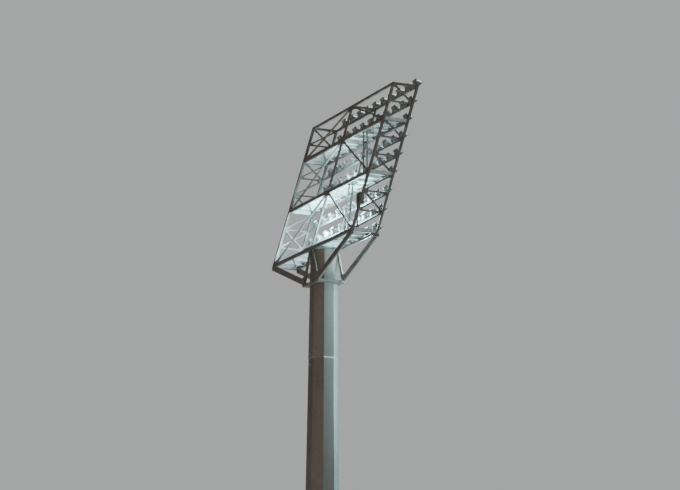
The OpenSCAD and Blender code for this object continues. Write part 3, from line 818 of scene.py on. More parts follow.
# A point on the middle of one of the shaft's flat sides, and the way it faces
def onSide(node, side, z, out=0.0, along=0.0):
    angle = math.radians(45 * side)
    outward = Vector((math.cos(angle), math.sin(angle), 0))
    aside = Vector((-math.sin(angle), math.cos(angle), 0))
    return outward * (shaftHalf(node, z) + out) + aside * along + Vector((0, 0, z)), outward


# The section above, if there is one, hides this one's top; seams and lugs stop below it
def makeShaft(node, above, seamSide=1):
    withDoor = node == "shaft_lower"
    low, high = (corner.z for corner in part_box(node))
    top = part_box(above)[0].z if above else high
    seam, lugs = [], []
    for side in (seamSide, seamSide + 4):
        start, outward = onSide(node, side, low + .004)
        end, _ = onSide(node, side, top)
        seam.append(beadShape(start, end, outward, shaftFold["seamWidth"], shaftFold["seamHeight"]))
    spots = [] if withDoor else [low + shaftFold["lugRise"]]
    if above:
        spots.append(top - shaftFold["lugDrop"])
    thick = shaftFold["lugPad"][2]
    for side in (seamSide + 1, seamSide + 5):
        for z in spots:
            at, outward = onSide(node, side, z, -.001)
            lugs += [placed(boxShape(shaftFold["lugPad"], (0, 0, thick / 2)), facing(outward, at)),
                     placed(boltShape(*shaftFold["lugNut"]), facing(outward, at + outward * (thick - .001)))]
    layers = {"shaftZinc": shaftShape(node, withDoor), "weldBead": seam}
    if not withDoor:
        # A ring seals each slip joint; its part on the side facing -X is pale, a painted highlight where its edge
        # catches the light
        half, bend, leg = shaftHalf(node, low), shaftFold["bendRadius"], shaftFold["sealLeg"]
        rings = [foldedRing(half - shaftFold["wall"] - .001, low - leg, bend),
                 foldedRing(half - .004, low - leg * .35, bend), foldedRing(half - .001, low + .001, bend)]
        perCorner = shaftFold["bendSteps"] + 1
        first, last = perCorner * 3 + 2, perCorner * 4 + 3      # the side that faces -X is pale: a painted highlight where the ring's edge catches the light
        seam.append(stripShape(rings, range(last, first + 8 * perCorner + 1)))
        layers["jointPaint"] = stripShape(rings, range(first, last + 1))
    if lugs:
        layers["boltZinc"] = lugs
    makePiece(node.replace("shaft_", "mast_shaft_"), layers, "mast", [node])


makeShaft("shaft_lower", "shaft_middle")
makeShaft("shaft_middle", "shaft_upper")
makeShaft("shaft_upper", None)
print("shaft sections folded")


# The foot: anchor bolts, welds round the shaft and the gussets, and an earthing stud
foot = {"studRadius": .024, "studAbove": .118, "nutFlats": .075, "nutHeight": .038, "washer": (.054, .009),
        "threadPitch": .006, "threadDeep": .0022, "boltTurn": .37, "filletLeg": .014, "gussetThick": .016,
        "bead": (.016, .007), "studAt": (3, .42, -.002, .12)}
studBoss = ((0, 0), (.034, 0), (.034, .006), (.030, .010), (.030, .026), (.028, .028), (0, .028))
studRod = ((0, .028), (.017, .028), (.017, .031), (.008, .031), (.008, .052), (.006, .054), (0, .054))
studNut = ((0, .031), (.0135, .031), (.0135, .041), (0, .041))


def anchorShape():
    r, pitch, tall = foot["studRadius"], foot["threadPitch"], foot["nutHeight"]
    corner = foot["nutFlats"] / math.sqrt(3)
    wide, seat = foot["washer"]
    washer = latheShape([(0, 0), (wide, 0), (wide, seat - .001), (wide - .001, seat), (0, seat)], 24)
    nuts = []
    for start, high in ((seat, tall), (seat + tall + .0005, tall * .6)):
        nuts.append(latheShape([(r, start), (corner * .88, start), (corner, start + .003),
                                (corner, start + high - .003), (corner * .88, start + high),
                                (r, start + high)], 6))
    z = seat + tall * 1.6
    thread = [(0, z), (r - .0015, z)]
    while z < foot["studAbove"] - pitch:
        thread += [(r, z + pitch * .5), (r - foot["threadDeep"], z + pitch)]
        z += pitch
    thread += [(r - .005, foot["studAbove"]), (0, foot["studAbove"])]
    return joined([washer] + nuts + [latheShape(thread, 20)])


def makeFoot():
    bolts = next(mount["dims"] for mount in frame["record"]["mounts"] if mount["name"] == "anchor_bolts")
    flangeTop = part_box("base_flange")[1].z
    anchor = anchorShape()
    radius = bolts["pcd_mm"] / 2000
    anchors = []
    for n in range(bolts["count"]):
        angle = 2 * math.pi * n / bolts["count"]
        at = Matrix.Translation((radius * math.cos(angle), radius * math.sin(angle), flangeTop))
        anchors.append(placed(anchor, at @ Matrix.Rotation(angle + foot["boltTurn"] * n, 4, "Z")))
    makePiece("anchor_bolts", {"boltZinc": anchors}, "mast")

    leg, bend = foot["filletLeg"], shaftFold["bendRadius"]
    half = shaftHalf("shaft_lower", flangeTop)
    welds = [bandShape([foldedRing(half + leg, flangeTop + .0005, bend + leg),
                        foldedRing(half + leg * .45, flangeTop + leg * .4, bend),
                        foldedRing(half - .001, flangeTop + leg, bend)])]
    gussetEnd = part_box("base_gussets")[1]
    side = half * 2 * math.tan(halfSide)
    for facet in range(8):
        turn = Matrix.Rotation(math.radians(45 * facet), 4, "Z")
        for aside in (-side / 4, side / 4):
            for face in (-1, 1):
                y = aside + face * (foot["gussetThick"] / 2 - .001)
                flat = beadShape((half + .006, y, flangeTop), (gussetEnd.x - .004, y, flangeTop),
                                 (0, face, 1), *foot["bead"])
                head = (half - shaftTaper * (gussetEnd.z - flangeTop) + .002, y, gussetEnd.z - .004)
                upright = beadShape((half + .002, y, flangeTop + .01), head, (1, face, 0), *foot["bead"])
                welds += [placed(flat, turn), placed(upright, turn)]
    makePiece("foot_welds", {"weldBead": welds})

    # An earthing stud on a welded boss beside the door
    at, outward = onSide("shaft_lower", *foot["studAt"])
    boss, stud, nut = (placed(latheShape(profile, turns), facing(outward, at))
                       for profile, turns in ((studBoss, 24), (studRod, 18), (studNut, 6)))
    makePiece("earthing_stud", {"footZinc": boss, "lockBrass": [stud, nut]})


makeFoot()
print("foot made")


# The access door lies in its frame on the shaft's back side; local Z points out of that side
door = {"gap": .004, "corner": .018, "thick": .016, "panelInset": .045, "panelRise": .006, "hinges": 3,
        "locks": 2, "hingeRadius": .011, "hingeLength": .095, "hingePitch": .39, "hingePin": .0055,
        "lockRadius": .017, "lockShare": .30, "lockIn": .030, "handleIn": .080, "handleHalf": .07,
        "screw": (.012, .005)}


# A rectangle's outline with rounded corners about a middle
def roundedOutline(width, height, radius, middle=(0, 0), steps=5):
    outline = []
    for n, (sx, sy) in enumerate(((1, 1), (-1, 1), (-1, -1), (1, -1))):
        for step in range(steps + 1):
            angle = math.pi / 2 * (n + step / steps)
            outline.append((middle[0] + sx * (width / 2 - radius) + radius * math.cos(angle),
                            middle[1] + sy * (height / 2 - radius) + radius * math.sin(angle)))
    return outline


def makeDoor():
    low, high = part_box("access_door")
    sideLean = math.atan(shaftTaper)
    width = high.x - low.x - 2 * door["gap"]
    tall = (high.z - low.z) / math.cos(sideLean) - 2 * door["gap"] - .001
    middleZ = (low.z + high.z) / 2
    sine, cosine = math.sin(sideLean), math.cos(sideLean)
    onFace = Matrix.Translation((0, shaftHalf("shaft_lower", middleZ) + .0006, middleZ)) @ Matrix(
        ((-1, 0, 0, 0), (0, -sine, cosine, 0), (0, cosine, sine, 0), (0, 0, 0, 1)))
    radius, inset, rise, thick = door["corner"], door["panelInset"], door["panelRise"], door["thick"]

    def outline(shrink, corner):
        return roundedOutline(width - 2 * shrink, tall - 2 * shrink, corner)

    leaf = stackShape([(outline(shrink, corner), z) for shrink, corner, z in (
        (0, radius, .001), (0, radius, thick - .003), (.0009, radius, thick - .0009), (.003, radius, thick),
        (inset, radius + .012, thick), (inset + .004, radius + .010, thick + rise * .5),
        (inset + .010, radius + .008, thick + rise))])
    seal = stackShape([(outline(-.0035, radius + .003), z) for z in (.0005, .010)])

    steel, brass, screws = [], [], []
    side, axis, long = width / 2 - .002, thick + .007, door["hingeLength"]
    for n in range(door["hinges"]):
        y = tall * (door["hingePitch"] * (n - 1))
        for part in range(3):
            length = long / 3 - .0012
            start = y + (part - 1) * long / 3 - length / 2
            steel.append(rodShape((side, start, axis), (side, start + length, axis), door["hingeRadius"], 16))
        steel.append(rodShape((side, y - long / 2 - .006, axis), (side, y + long / 2 + .006, axis),
                              door["hingePin"]))
        flap = ((.085, long * .9, .010, thick - .001), (.085, long * .9, .010, thick + .006),
                (.082, long * .9 - .003, .009, thick + .0075))
        steel.append(stackShape([(roundedOutline(wide, high, corner, (side - .045, y)), z)
                                 for wide, high, corner, z in flap]))
        screws += [((side - .068, y + s * .028, thick + .0075), (0, 0, 1)) for s in (-1, 1)]
    lock = door["lockRadius"]
    escutcheon = latheShape([(0, 0), (lock + .012, 0), (lock + .012, .003), (lock + .010, .005),
                             (0, .005)], 28)
    barrel = latheShape([(0, .004), (lock, .004), (lock, .012), (lock - .002, .014), (.0095, .014),
                         (.0085, .007), (0, .007)], 24)
    key = latheShape([(0, .006), (.0065, .006), (.0065, .0125), (0, .0125)], 3)
    for n in range(door["locks"]):
        y = tall * (door["lockShare"] if n else -door["lockShare"])
        at = Matrix.Translation((-width / 2 + door["lockIn"], y, thick - .0005))
        steel.append(placed(escutcheon, at))
        brass += [placed(barrel, at), placed(key, at)]
    x, reach = -width / 2 + door["handleIn"], door["handleHalf"]
    for s in (-1, 1):
        steel.append(rodShape((x, s * reach, thick), (x, s * reach, thick + .040), .006))
    steel.append(rodShape((x, -reach - .006, thick + .038), (x, reach + .006, thick + .038), .0065))
    steel.append(boltsAt(screws, *door["screw"]))
    makePiece("door_leaf", {"railZinc": placed(leaf, onFace)}, "mast", ["access_door"])
    makePiece("door_fittings", {"boltZinc": placed(joined(steel), onFace),
                                "lockBrass": placed(joined(brass), onFace)})
    makePiece("door_seal", {"rubberSeal": placed(seal, onFace)})


makeDoor()
print("door made")


# Collar: cover strips where its halves meet, bolts through its side plates, and welds to the shaft
collarFit = {"stripLong": .30, "stripThick": .010, "stripBolts": (-.11, -.04, .04, .11),
             "sideBolts": (.07, .22, .37), "endBolts": (-.42, -.14, .14, .42), "bolt": (.030, .018),
             "weldLeg": .015}


def makeCollarFittings():
    low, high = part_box("collar")
    middle, thick = (low.z + high.z) / 2, collarFit["stripThick"]
    strips, spots, welds = [], [], []
    for side in (-1, 1):
        face = side * high.y
        size = (collarFit["stripLong"], thick, high.z - low.z - .02)
        strips.append(boxShape(size, (0, face + side * thick * .45, middle)))
        spots += [((x, face + side * thick * .9, middle), (0, side, 0)) for x in collarFit["stripBolts"]]
        spots += [((end * (high.x - inset), face, middle), (0, side, 0))
                  for end in (-1, 1) for inset in collarFit["sideBolts"]]
        spots += [((side * high.x, y, middle), (side, 0, 0)) for y in collarFit["endBolts"]]
    leg, bend = collarFit["weldLeg"], shaftFold["bendRadius"]
    for z, way in ((high.z, 1), (low.z, -1)):
        half = shaftHalf("shaft_upper", z)
        rings = [foldedRing(half + leg, z, bend + leg),
                 foldedRing(half + leg / 2, z + way * leg * .4, bend + leg / 2),
                 foldedRing(half - .001, z + way * leg * .9, bend)]
        welds.append(bandShape(rings[::way]))
    makePiece("collar_fittings", {"frameZinc": strips, "boltZinc": boltsAt(spots, *collarFit["bolt"]),
                                  "weldBead": welds}, "mast")


makeCollarFittings()
print("collar fittings made")


# Gusset plates where braces meet columns, posts and beams, on both faces of the braces
gusset = {"thick": .008, "reach": .105, "margin": .010, "bolt": (.022, .012), "boltIn": .026,
          "boltPitch": .045, "braceSide": .060, "taper": .8, "crossRadius": .058,
          "crossBolts": (.031, .024), "cornerLeg": .055, "railHalf": .030, "railReach": .09,
          "backReach": .15, "backLeg": .085}


# A plate outline at a corner: from a brace's end back to the members that it meets. node and towards give
# the brace's line, inside holds the plate's straight limits as (point, normal pointing in)
def braceEnd(node, towards, inside, reach):
    node, towards = Vector(node), Vector(towards)
    run = (towards - node).normalized()
    across = Vector((-run.y, run.x)) * (gusset["braceSide"] / 2 + gusset["margin"])
    corners, starts = [], []
    for edge in (across, -across):
        begin = 0.0
        for point, normal in inside:
            slope = run.dot(Vector(normal))
            if slope > 1e-6:
                begin = max(begin, (Vector(point) - node - edge).dot(Vector(normal)) / slope)
        starts.append(begin)
        corners.append(node + edge + run * begin)
    tip = max(starts) + reach
    corners += [node + across * gusset["taper"] + run * tip, node - across * gusset["taper"] + run * tip]
    return corners, [node + run * (tip - gusset["boltIn"] - n * gusset["boltPitch"]) for n in range(2)]


# Plates on both faces of a plane, from outlines, with bolt heads outside
def gussetPair(outline, bolts, plane, facesAt):
    plates, spots = [], []
    for side, offset in zip((-1, 1), facesAt):
        outer = offset + side * gusset["thick"]
        plates.append(placed(plateShape(outline, *sorted((offset, outer))), plane))
        spots += [(plane @ Vector((bolt[0], bolt[1], outer)), plane.to_3x3() @ Vector((0, 0, side)))
                  for bolt in bolts]
    return plates, spots


# Struts: plates at their heads and under their feet, caps on the long ones' outer ends, and gussets at the
# feet, whose outline and bolts count inwards from the collar's end and up from its top
strutFit = {"plateThick": .016, "plateBolts": .27, "margin": .035, "headBolt": .017, "footBolt": .016,
            "middleBolt": .020, "bolt": (.024, .015), "cornerHead": .351, "feet": .190, "shortHeads": .175,
            "noseHigh": .110, "capThick": .008,
            "outline": ((.195, .006), (.006, .006), (-.15, .066), (-.05, .245), (.19, .30), (.31, .28)),
            "outlineBolts": ((.176, .12), (.218, .22), (.05, .10), (-.04, .135))}


def makeStrutFittings():
    plates, spots = [], []
    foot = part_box("collar")[1]
    thick, margin, cap, nose = (strutFit[key] for key in ("plateThick", "margin", "capThick", "noseHigh"))
    for node in ("struts_front", "struts_back"):
        low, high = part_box(node)
        y, deep = (low.y + high.y) / 2, high.y - low.y
        under = high.z - .001

        def addPlate(x0, x1, z, way, boltX):
            size, at = (abs(x1 - x0), deep - .004, thick), ((x0 + x1) / 2, y, z + way * thick / 2)
            plates.append(boxShape(size, at))
            spots.extend(((x, y + s * deep * strutFit["plateBolts"], z + way * thick), (0, 0, way))
                         for x in boltX for s in (-1, 1))

        for side in (-1, 1):
            inner = high.x - strutFit["cornerHead"] - margin
            addPlate(side * inner, side * (high.x - .010), under, -1, [side * (inner + strutFit["headBolt"])])
            inner = foot.x - strutFit["feet"] - margin
            addPlate(side * inner, side * (foot.x - .004), foot.z, 1, [side * (inner + strutFit["footBolt"])])
            plates.append(boxShape((cap, deep + .008, nose + .006),
                                   (side * (high.x + cap / 2 - .001), y, high.z - nose / 2 - .003)))
            outline, bolts = ([(-side * u, v) for u, v in strutFit[key]]
                              for key in ("outline", "outlineBolts"))
            plane = frontPlane(side * foot.x, y, foot.z)
            more, heads = gussetPair(outline, bolts, plane, (-deep / 2, deep / 2))
            plates += more
            spots += heads
        reach = strutFit["shortHeads"] + margin
        addPlate(-reach, reach, under, -1, [side * (reach - strutFit["middleBolt"]) for side in (-1, 1)])
    makeFittings("strut_fittings", plates, spots, strutFit["bolt"])


makeStrutFittings()
print("strut fittings made")


# The end trusses' joints as ("cross", middle, row) and ("node", corners, bolts), in Y and Z
def endJunctions():
    made, braces = [], []
    halfOf = dict(zip(deckRows, beamHalf))
    for row in range(rowCount - 1):
        braces.append((row, row + 1, 1))
        if row % 2:
            braces.append((row, row + 1, -1))
            middle = (rowHeights[row] + rowHeights[row + 1]) / 2
            made.append(("cross", Vector((planeY(middle), middle)), row))
    slant = Vector((-planeDrop, 1))
    for side in (-1, 1):
        for row, z in enumerate(rowHeights):
            node = Vector((planeY(z) + side * halfDepth, z))
            face = Vector((node.x - side * columnSide / 2, z))
            columnFace = (face, Vector((-side, -side * planeDrop)).normalized())
            for ways in ((-1,), (1,)) if row in halfOf else ((-1, 1),):
                corners, bolts = [], []
                for upward, (lowRow, highRow, leaning) in ((way, brace) for way in ways for brace in braces):
                    low, high = rowHeights[lowRow], rowHeights[highRow]
                    start = Vector((planeY(low) + leaning * halfDepth, low))
                    end = Vector((planeY(high) - leaning * halfDepth, high))
                    here, there = (start, end) if upward > 0 else (end, start)
                    if (here - node).length < 1e-6:
                        limits = [columnFace]
                        if row in halfOf:
                            limits.append(((node.x, z + upward * halfOf[row]), (0, upward)))
                        found, spots = braceEnd(here, there, limits, gusset["reach"])
                        corners += found
                        bolts += spots
                if not corners:
                    continue
                if row in halfOf:
                    upward, leg = ways[0], gusset["cornerLeg"]
                    corner = face + slant * upward * halfOf[row]
                    corners += [corner, corner + slant * upward * leg, corner + Vector((-side * leg, 0))]
                else:
                    corners += [face - slant * way * gusset["railHalf"] for way in (-1, 1)]
                    corners.append(face + Vector((-side * gusset["railReach"], 0)))
                made.append(("node", corners, bolts))
    return made


def makeEndGussets(node, name):
    half, wide = gusset["braceSide"] / 2, gusset["crossRadius"]
    plates, spots = [], []
    for kind, first, second in endJunctions():
        if kind == "cross":
            outline = [(first.x + wide * math.cos(a), first.y + wide * math.sin(a))
                       for a in (math.pi / 8 + math.pi / 4 * n for n in range(8))]
            aside, above = gusset["crossBolts"]
            bolts = [first + Vector((sx * aside, sz * above)) for sx in (-1, 1) for sz in (-1, 1)]
        else:
            outline, bolts = aroundPoints(first), second
        more, heads = gussetPair(outline, bolts, endPlane(boxMiddle(node).x), (-half, half))
        plates += more
        spots += heads
    makeFittings(name, plates, spots, gusset["bolt"])


# The back face: each storey's two braces, from the lower corners to the middle post's head
def makeBackGussets():
    slope = math.cos(lean)
    heights = [(level - levels[0]) / slope for level in levels]
    halves = [half / slope for half in beamHalf]
    inner, post, leg = halfWidth - columnSide / 2, postSide / 2, gusset["backLeg"]
    half = gusset["braceSide"] / 2 * slope
    plates, spots = [], []
    for storey in range(3):
        beamTop, beamUnder = heights[storey] + halves[storey], heights[storey + 1] - halves[storey + 1]
        for side in (-1, 1):
            ends = (side * halfWidth, heights[storey]), (0, heights[storey + 1])
            lowLimits = [((side * inner, 0), (-side, 0)), ((0, beamTop), (0, 1))]
            lowLegs = [(side * inner, beamTop), (side * inner, beamTop + leg),
                       (side * (inner - leg), beamTop)]
            highLimits = [((side * post, 0), (side, 0)), ((0, beamUnder), (0, -1))]
            highLegs = [(side * post, beamUnder), (side * post, beamUnder - leg),
                        (side * (post + leg), beamUnder)]
            for (start, end), limits, legs in ((ends, lowLimits, lowLegs),
                                               (ends[::-1], highLimits, highLegs)):
                corners, bolts = braceEnd(start, end, limits, gusset["backReach"])
                outline = aroundPoints(corners + [Vector(point) for point in legs])
                more, heads = gussetPair(outline, bolts, facePlane(halfDepth), (-half, half))
                plates += more
                spots += heads
    makeFittings("back_gussets", plates, spots, gusset["bolt"])


makeEndGussets("end_truss_near", "end_gussets_near")
makeEndGussets("end_truss_far", "end_gussets_far")
makeBackGussets()
print("gusset plates made")


# Small steelwork in the head: caps, cleats, plates and their bolts
smallSteel = {
    "cleatLeg": .070, "cleatThick": .007, "cleatTall": .076, "joistDeep": .100, "cleatRise": .018,
    "cleatShare": (.6, .62), "smallBolt": (.019, .009), "planBolt": (.024, .012), "planHalf": .10,
    "planReach": .20, "planAcross": .042, "planHeights": (.0125, .0205), "planBoltAt": (.10, .06),
    "capTrim": .004, "railPlate": (.085, .006, .052), "railFace": .0328, "railBolts": (.030, .062),
    "railSeat": (.060, .050, .006), "railSeatLow": -.033,
}


# An angle cleat: two plates that meet at a corner, legs along +X and +Y, tall along Z
def angleShape(leg, thick, tall):
    outline = [(0, 0), (leg, 0), (leg, thick * .6), (leg - thick * .4, thick), (thick * 1.6, thick),
               (thick, thick * 1.6), (thick, leg - thick * .4), (thick * .6, leg), (0, leg)]
    return plateShape(outline, -tall / 2, tall / 2)


def makeJoistCleats():
    cleats, spots = [], []
    leg, thick = smallSteel["cleatLeg"], smallSteel["cleatThick"]
    alongShare, acrossShare = smallSteel["cleatShare"]
    cleat = angleShape(leg, thick, smallSteel["cleatTall"])
    quarters = {(1, -1): 0, (-1, -1): 1, (-1, 1): 2, (1, 1): 3}
    for number in range(3):
        low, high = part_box(levelNodes[number])
        middleY = (low.y + high.y) / 2
        z = levels[number] + (beamHalf[number] - smallSteel["joistDeep"] + beamHalf[number]) / 2
        for i in range(1, joistBays):
            x = i * joistPitch - halfWidth
            for side in (-1, 1):
                for across in (-1, 1):
                    cornerX, cornerY = x + across * joistHalf, middleY + side * beamFace
                    turn = Matrix.Rotation(quarters[across, side] * math.pi / 2, 4, "Z")
                    cleats.append(placed(cleat, Matrix.Translation((cornerX, cornerY, z)) @ turn))
                    for rise in (-smallSteel["cleatRise"], smallSteel["cleatRise"]):
                        along = (cornerX + across * leg * alongShare, cornerY - side * thick, z + rise)
                        inwards = (cornerX + across * thick, cornerY - side * leg * acrossShare, z + rise)
                        spots += [(along, (0, -side, 0)), (inwards, (across, 0, 0))]
    makeFittings("joist_cleats", cleats, spots, smallSteel["smallBolt"])


# Under each deck the flat plan braces are bolted to small plates at both ends
def makePlanBracePlates():
    plates, spots = [], []
    low, high = smallSteel["planHeights"]
    first, pitch = smallSteel["planBoltAt"]
    for number in range(3):
        under = levels[number] - beamHalf[number]
        middleY = boxMiddle(levelNodes[number]).y
        for side in (-1, 1):
            front, rear = Vector((side * halfWidth, -halfDepth)), Vector((side * halfWidth / 2, halfDepth))
            run = (rear - front).normalized()
            across = Vector((-run.y, run.x))
            for edge, way in ((-beamFace, 1), (beamFace, -1)):
                at = front + run * ((edge + halfDepth) / run.y)
                tips = [at + across * s * smallSteel["planAcross"] + run * way * smallSteel["planReach"]
                        for s in (-1, 1)]
                outline = aroundPoints([(at.x + s * smallSteel["planHalf"], edge) for s in (-1, 1)] + tips)
                plates.append(placed(plateShape(outline, under + low, under + high),
                                     Matrix.Translation((0, middleY, 0))))
                for n in range(2):
                    spot = at + run * way * (first + pitch * n)
                    spots.append(((spot.x, spot.y + middleY, under), (0, 0, -1)))
    makeFittings("plan_brace_plates", plates, spots, smallSteel["planBolt"])


# Caps on both ends of every column
def makeColumnCaps():
    caps = []
    side = columnSide - smallSteel["capTrim"]
    cap = stackShape([(roundedOutline(side, side, .010), 0), (roundedOutline(side, side, .010), .004),
                      (roundedOutline(side - .010, side - .010, .008), .0065)])
    for node in columnNodes:
        low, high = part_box(node)
        offset = -halfDepth if "front" in node else halfDepth
        for z, angle in ((high.z, 0), (low.z, math.pi)):
            at = Matrix.Translation(((low.x + high.x) / 2, planeY(z) + offset, z))
            caps.append(placed(cap, at @ Matrix.Rotation(angle, 4, "X")))
    makePiece("column_caps", {"frameZinc": caps}, "mast")


# Cleats at both ends of every front rail
def makeRailCleats():
    cleats, spots = [], []
    size, seat, outer = smallSteel["railPlate"], smallSteel["railSeat"], smallSteel["railFace"]
    for row in range(rowCount - 1):
        if row in deckRows:
            continue
        z = rowHeights[row]
        y = planeY(z) - halfDepth
        for side in (-1, 1):
            for at, way in ((side * (halfWidth - columnSide / 2), -side), (side * postSide / 2, side)):
                plate = boxShape(size, (way * size[0] / 2, 0, 0))
                for face in (-1, 1):
                    cleats.append(placed(plate, Matrix.Translation((at, y + face * outer, z))))
                    spots += [((at + way * d, y + face * (outer + size[1] / 2), z), (0, face, 0))
                              for d in smallSteel["railBolts"]]
                under = boxShape(seat, (way * seat[0] / 2, 0, smallSteel["railSeatLow"]))
                cleats.append(placed(under, Matrix.Translation((at, y, z))))
    makeFittings("rail_cleats", cleats, spots, smallSteel["smallBolt"], finish="railZinc")


makeJoistCleats()
makePlanBracePlates()
makeColumnCaps()
makeRailCleats()
print("small steelwork made")


# The gear cabinet on its post: a folded case, a door with a gasket gap, hinges, locks, glands and a rain hood
cabinet = {"doorGap": .003, "doorThick": .018, "hood": .010, "hoodThick": .004, "caseTrim": .022,
           "drop": .008, "hingeShare": .36, "lockShare": .72, "strap": (.040, .044, .003), "glands": 5,
           "clampShares": (-.30, .24), "clamp": (.18, .034, .008), "clampPlate": (.125, .006, .034),
           "studAside": .048, "studRadius": .005, "footPlate": (.15, .085, .008), "footBolt": .055,
           "bolt": (.019, .010)}
cabinetGland = ((0, 0), (.011, 0), (.011, .008), (.0085, .014), (.006, .018), (0, .018))
cabinetNut = ((.010, -.001), (.0155, -.001), (.0155, .005), (.010, .005))
cabinetLock = ((0, 0), (.016, 0), (.016, .0015), (.014, .0035), (0, .0035))
cabinetKey = ((0, .003), (.0085, .003), (.0085, .0036), (0, .0036))


def makeCabinet():
    low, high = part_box("gear_box")
    width, deep, tall = (high[i] - low[i] for i in range(3))
    centre = Vector([(low[i] + high[i]) / 2 for i in range(3)])
    # Local X is across the cabinet, local Y up and local Z out of its door, which faces -Y
    plane = frontPlane(centre.x, high.y, centre.z)
    w, t, d = width - 2 * cabinet["hood"], tall - cabinet["caseTrim"], deep - .004
    gap, drop = cabinet["doorGap"], cabinet["drop"]
    bodyDepth = d - cabinet["doorThick"] - gap
    start = bodyDepth + gap

    def stack(*layers):
        return stackShape([(roundedOutline(w - 2 * shrink, t - 2 * shrink, radius, (0, -drop)), z)
                           for shrink, radius, z in layers])

    shell = stack((.003, .008, 0), (0, .010, .003), (0, .010, bodyDepth))
    seal = stack((.007, .007, bodyDepth - .001), (.007, .007, start + .001))
    leaf = stack((.001, .010, start), (0, .010, start + .002), (0, .010, d - .003), (.001, .009, d - .0008),
                 (.003, .008, d), (.022, .006, d), (.024, .005, d - .0022), (.060, .004, d - .0022))
    eaves, ridge, thick = tall / 2 - .014, tall / 2 - .004, cabinet["hoodThick"]
    hood = plateShape([(0, eaves), (deep * .5, ridge), (deep, eaves), (deep, eaves - thick),
                       (deep * .5, ridge - thick), (0, eaves - thick)], -width / 2 + .001, width / 2 - .001)
    points, faces = placed(hood, Matrix(((0, 0, 1, 0), (0, 1, 0, 0), (1, 0, 0, 0), (0, 0, 0, 1))))
    hood = points, [face[::-1] for face in faces]
    fittings, brass, glands = [], [], []
    for share in (-cabinet["hingeShare"], cabinet["hingeShare"]):
        x, y = w / 2 - .004, share * t
        lockAt = Matrix.Translation((-w / 2 + .034, y * cabinet["lockShare"], d))
        fittings += [rodShape((x, y - .03, d - .006), (x, y + .03, d - .006), .0065, 14),
                     boxShape(cabinet["strap"], (w / 2 - .026, y, d + .0012)),
                     placed(latheShape(cabinetLock, 24), lockAt)]
        brass.append(placed(latheShape(cabinetKey, 3), lockAt))
    count = cabinet["glands"]
    gland = joined([latheShape(cabinetGland, 14), latheShape(cabinetNut, 6)])
    for n in range(count):
        x = (n - (count - 1) / 2) * w / (count + .6)
        glands.append(placed(gland, facing((0, -1, 0), (x, -t / 2 - drop + .0005, bodyDepth * .5))))
    # Channels on the back clamp the case to its post
    fittings += [boxShape(cabinet["clamp"], (0, share * t, .002)) for share in cabinet["clampShares"]]
    whole = {"boltZinc": fittings, "lockBrass": brass, "cablePlastic": glands, "rubberSeal": [seal]}
    makePiece("gear_cabinet", {"gearPaint": placed(joined([shell, leaf, hood]), plane)}, "mast",
              ["gear_box"])
    makePiece("gear_cabinet_fittings", {key: placed(joined(shapes), plane) for key, shapes in whole.items()})

    # The post stands on a foot plate; clamp plates and studs hold the cabinet to it
    low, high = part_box("gear_post")
    middle = (low + high) / 2
    base, clamp = cabinet["footPlate"], cabinet["clampPlate"]
    steel = [boxShape(base, (middle.x, middle.y, low.z + base[2] / 2))]
    spots = [((middle.x + s * cabinet["footBolt"], middle.y, low.z + base[2]), (0, 0, 1)) for s in (-1, 1)]
    for share in cabinet["clampShares"]:
        z = centre.z + share * t
        steel.append(boxShape(clamp, (middle.x, high.y + clamp[1] / 2, z)))
        for s in (-1, 1):
            x = middle.x + s * cabinet["studAside"]
            steel.append(rodShape((x, low.y - .004, z), (x, high.y + .018, z), cabinet["studRadius"], 10))
            spots.append(((x, high.y + clamp[1], z), (0, 1, 0)))
    makeFittings("gear_post_fittings", steel, spots, cabinet["bolt"])


makeCabinet()
print("gear cabinet made")


# Welded mesh in a flat-bar frame closes the far end's lowest bay
meshPanel = {"pitch": .050, "wireRadius": .0022, "wireIn": .004, "clear": .01, "barWidth": .030,
             "barThick": .006, "barFrom": .0048, "clipIn": .09, "bolt": (.017, .008)}


def makeMeshPanel():
    low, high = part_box("end_panel_far")
    x = (low.x + high.x) / 2
    half = boxSize("end_panel_far").y / 2 - (high.z - low.z) * planeDrop / 2
    radius, pitch, inset, clear = (meshPanel[key] for key in ("wireRadius", "pitch", "wireIn", "clear"))
    wide, face = meshPanel["barWidth"], meshPanel["barFrom"]
    back = face + meshPanel["barThick"]
    wires, bars, spots = [], [], []
    for n in range(1, int((high.z - low.z) / pitch) + 1):
        z = low.z + n * pitch
        if z < high.z - clear:
            wires.append(rodShape((x - radius, planeY(z) - half + inset, z),
                                  (x - radius, planeY(z) + half - inset, z), radius, 6))
    for n in range(1, int(2 * half / pitch) + 1):
        y = -half + n * pitch
        if y < half - clear:
            wires.append(rodShape((x + radius, planeY(low.z) + y, low.z + inset),
                                  (x + radius, planeY(high.z) + y, high.z - inset), radius, 6))
    low1, high1 = low.z + wide, high.z - wide
    sides = [(low1, high1, *sorted((side * half, side * (half - wide)))) for side in (-1, 1)]
    for z0, z1, a, b in [(low.z + .002, low1, -half, half), (high1, high.z - .002, -half, half)] + sides:
        outline = [(planeY(z0) + a, z0), (planeY(z0) + b, z0), (planeY(z1) + b, z1), (planeY(z1) + a, z1)]
        bars.append(placed(plateShape(outline, face, back), endPlane(x)))
    for side in (-1, 1):
        for z in (low.z + meshPanel["clipIn"], (low.z + high.z) / 2, high.z - meshPanel["clipIn"]):
            y = planeY(z) + side * (half - wide / 2)
            spots += [((x + back, y, z), (1, 0, 0)), ((x - .0050, y, z), (-1, 0, 0))]
    bolts = boltsAt(spots, *meshPanel["bolt"])
    makePiece("mesh_panel", {"railZinc": wires, "frameZinc": bars, "boltZinc": bolts}, "mast",
              ["end_panel_far"])


makeMeshPanel()
print("mesh panel made")


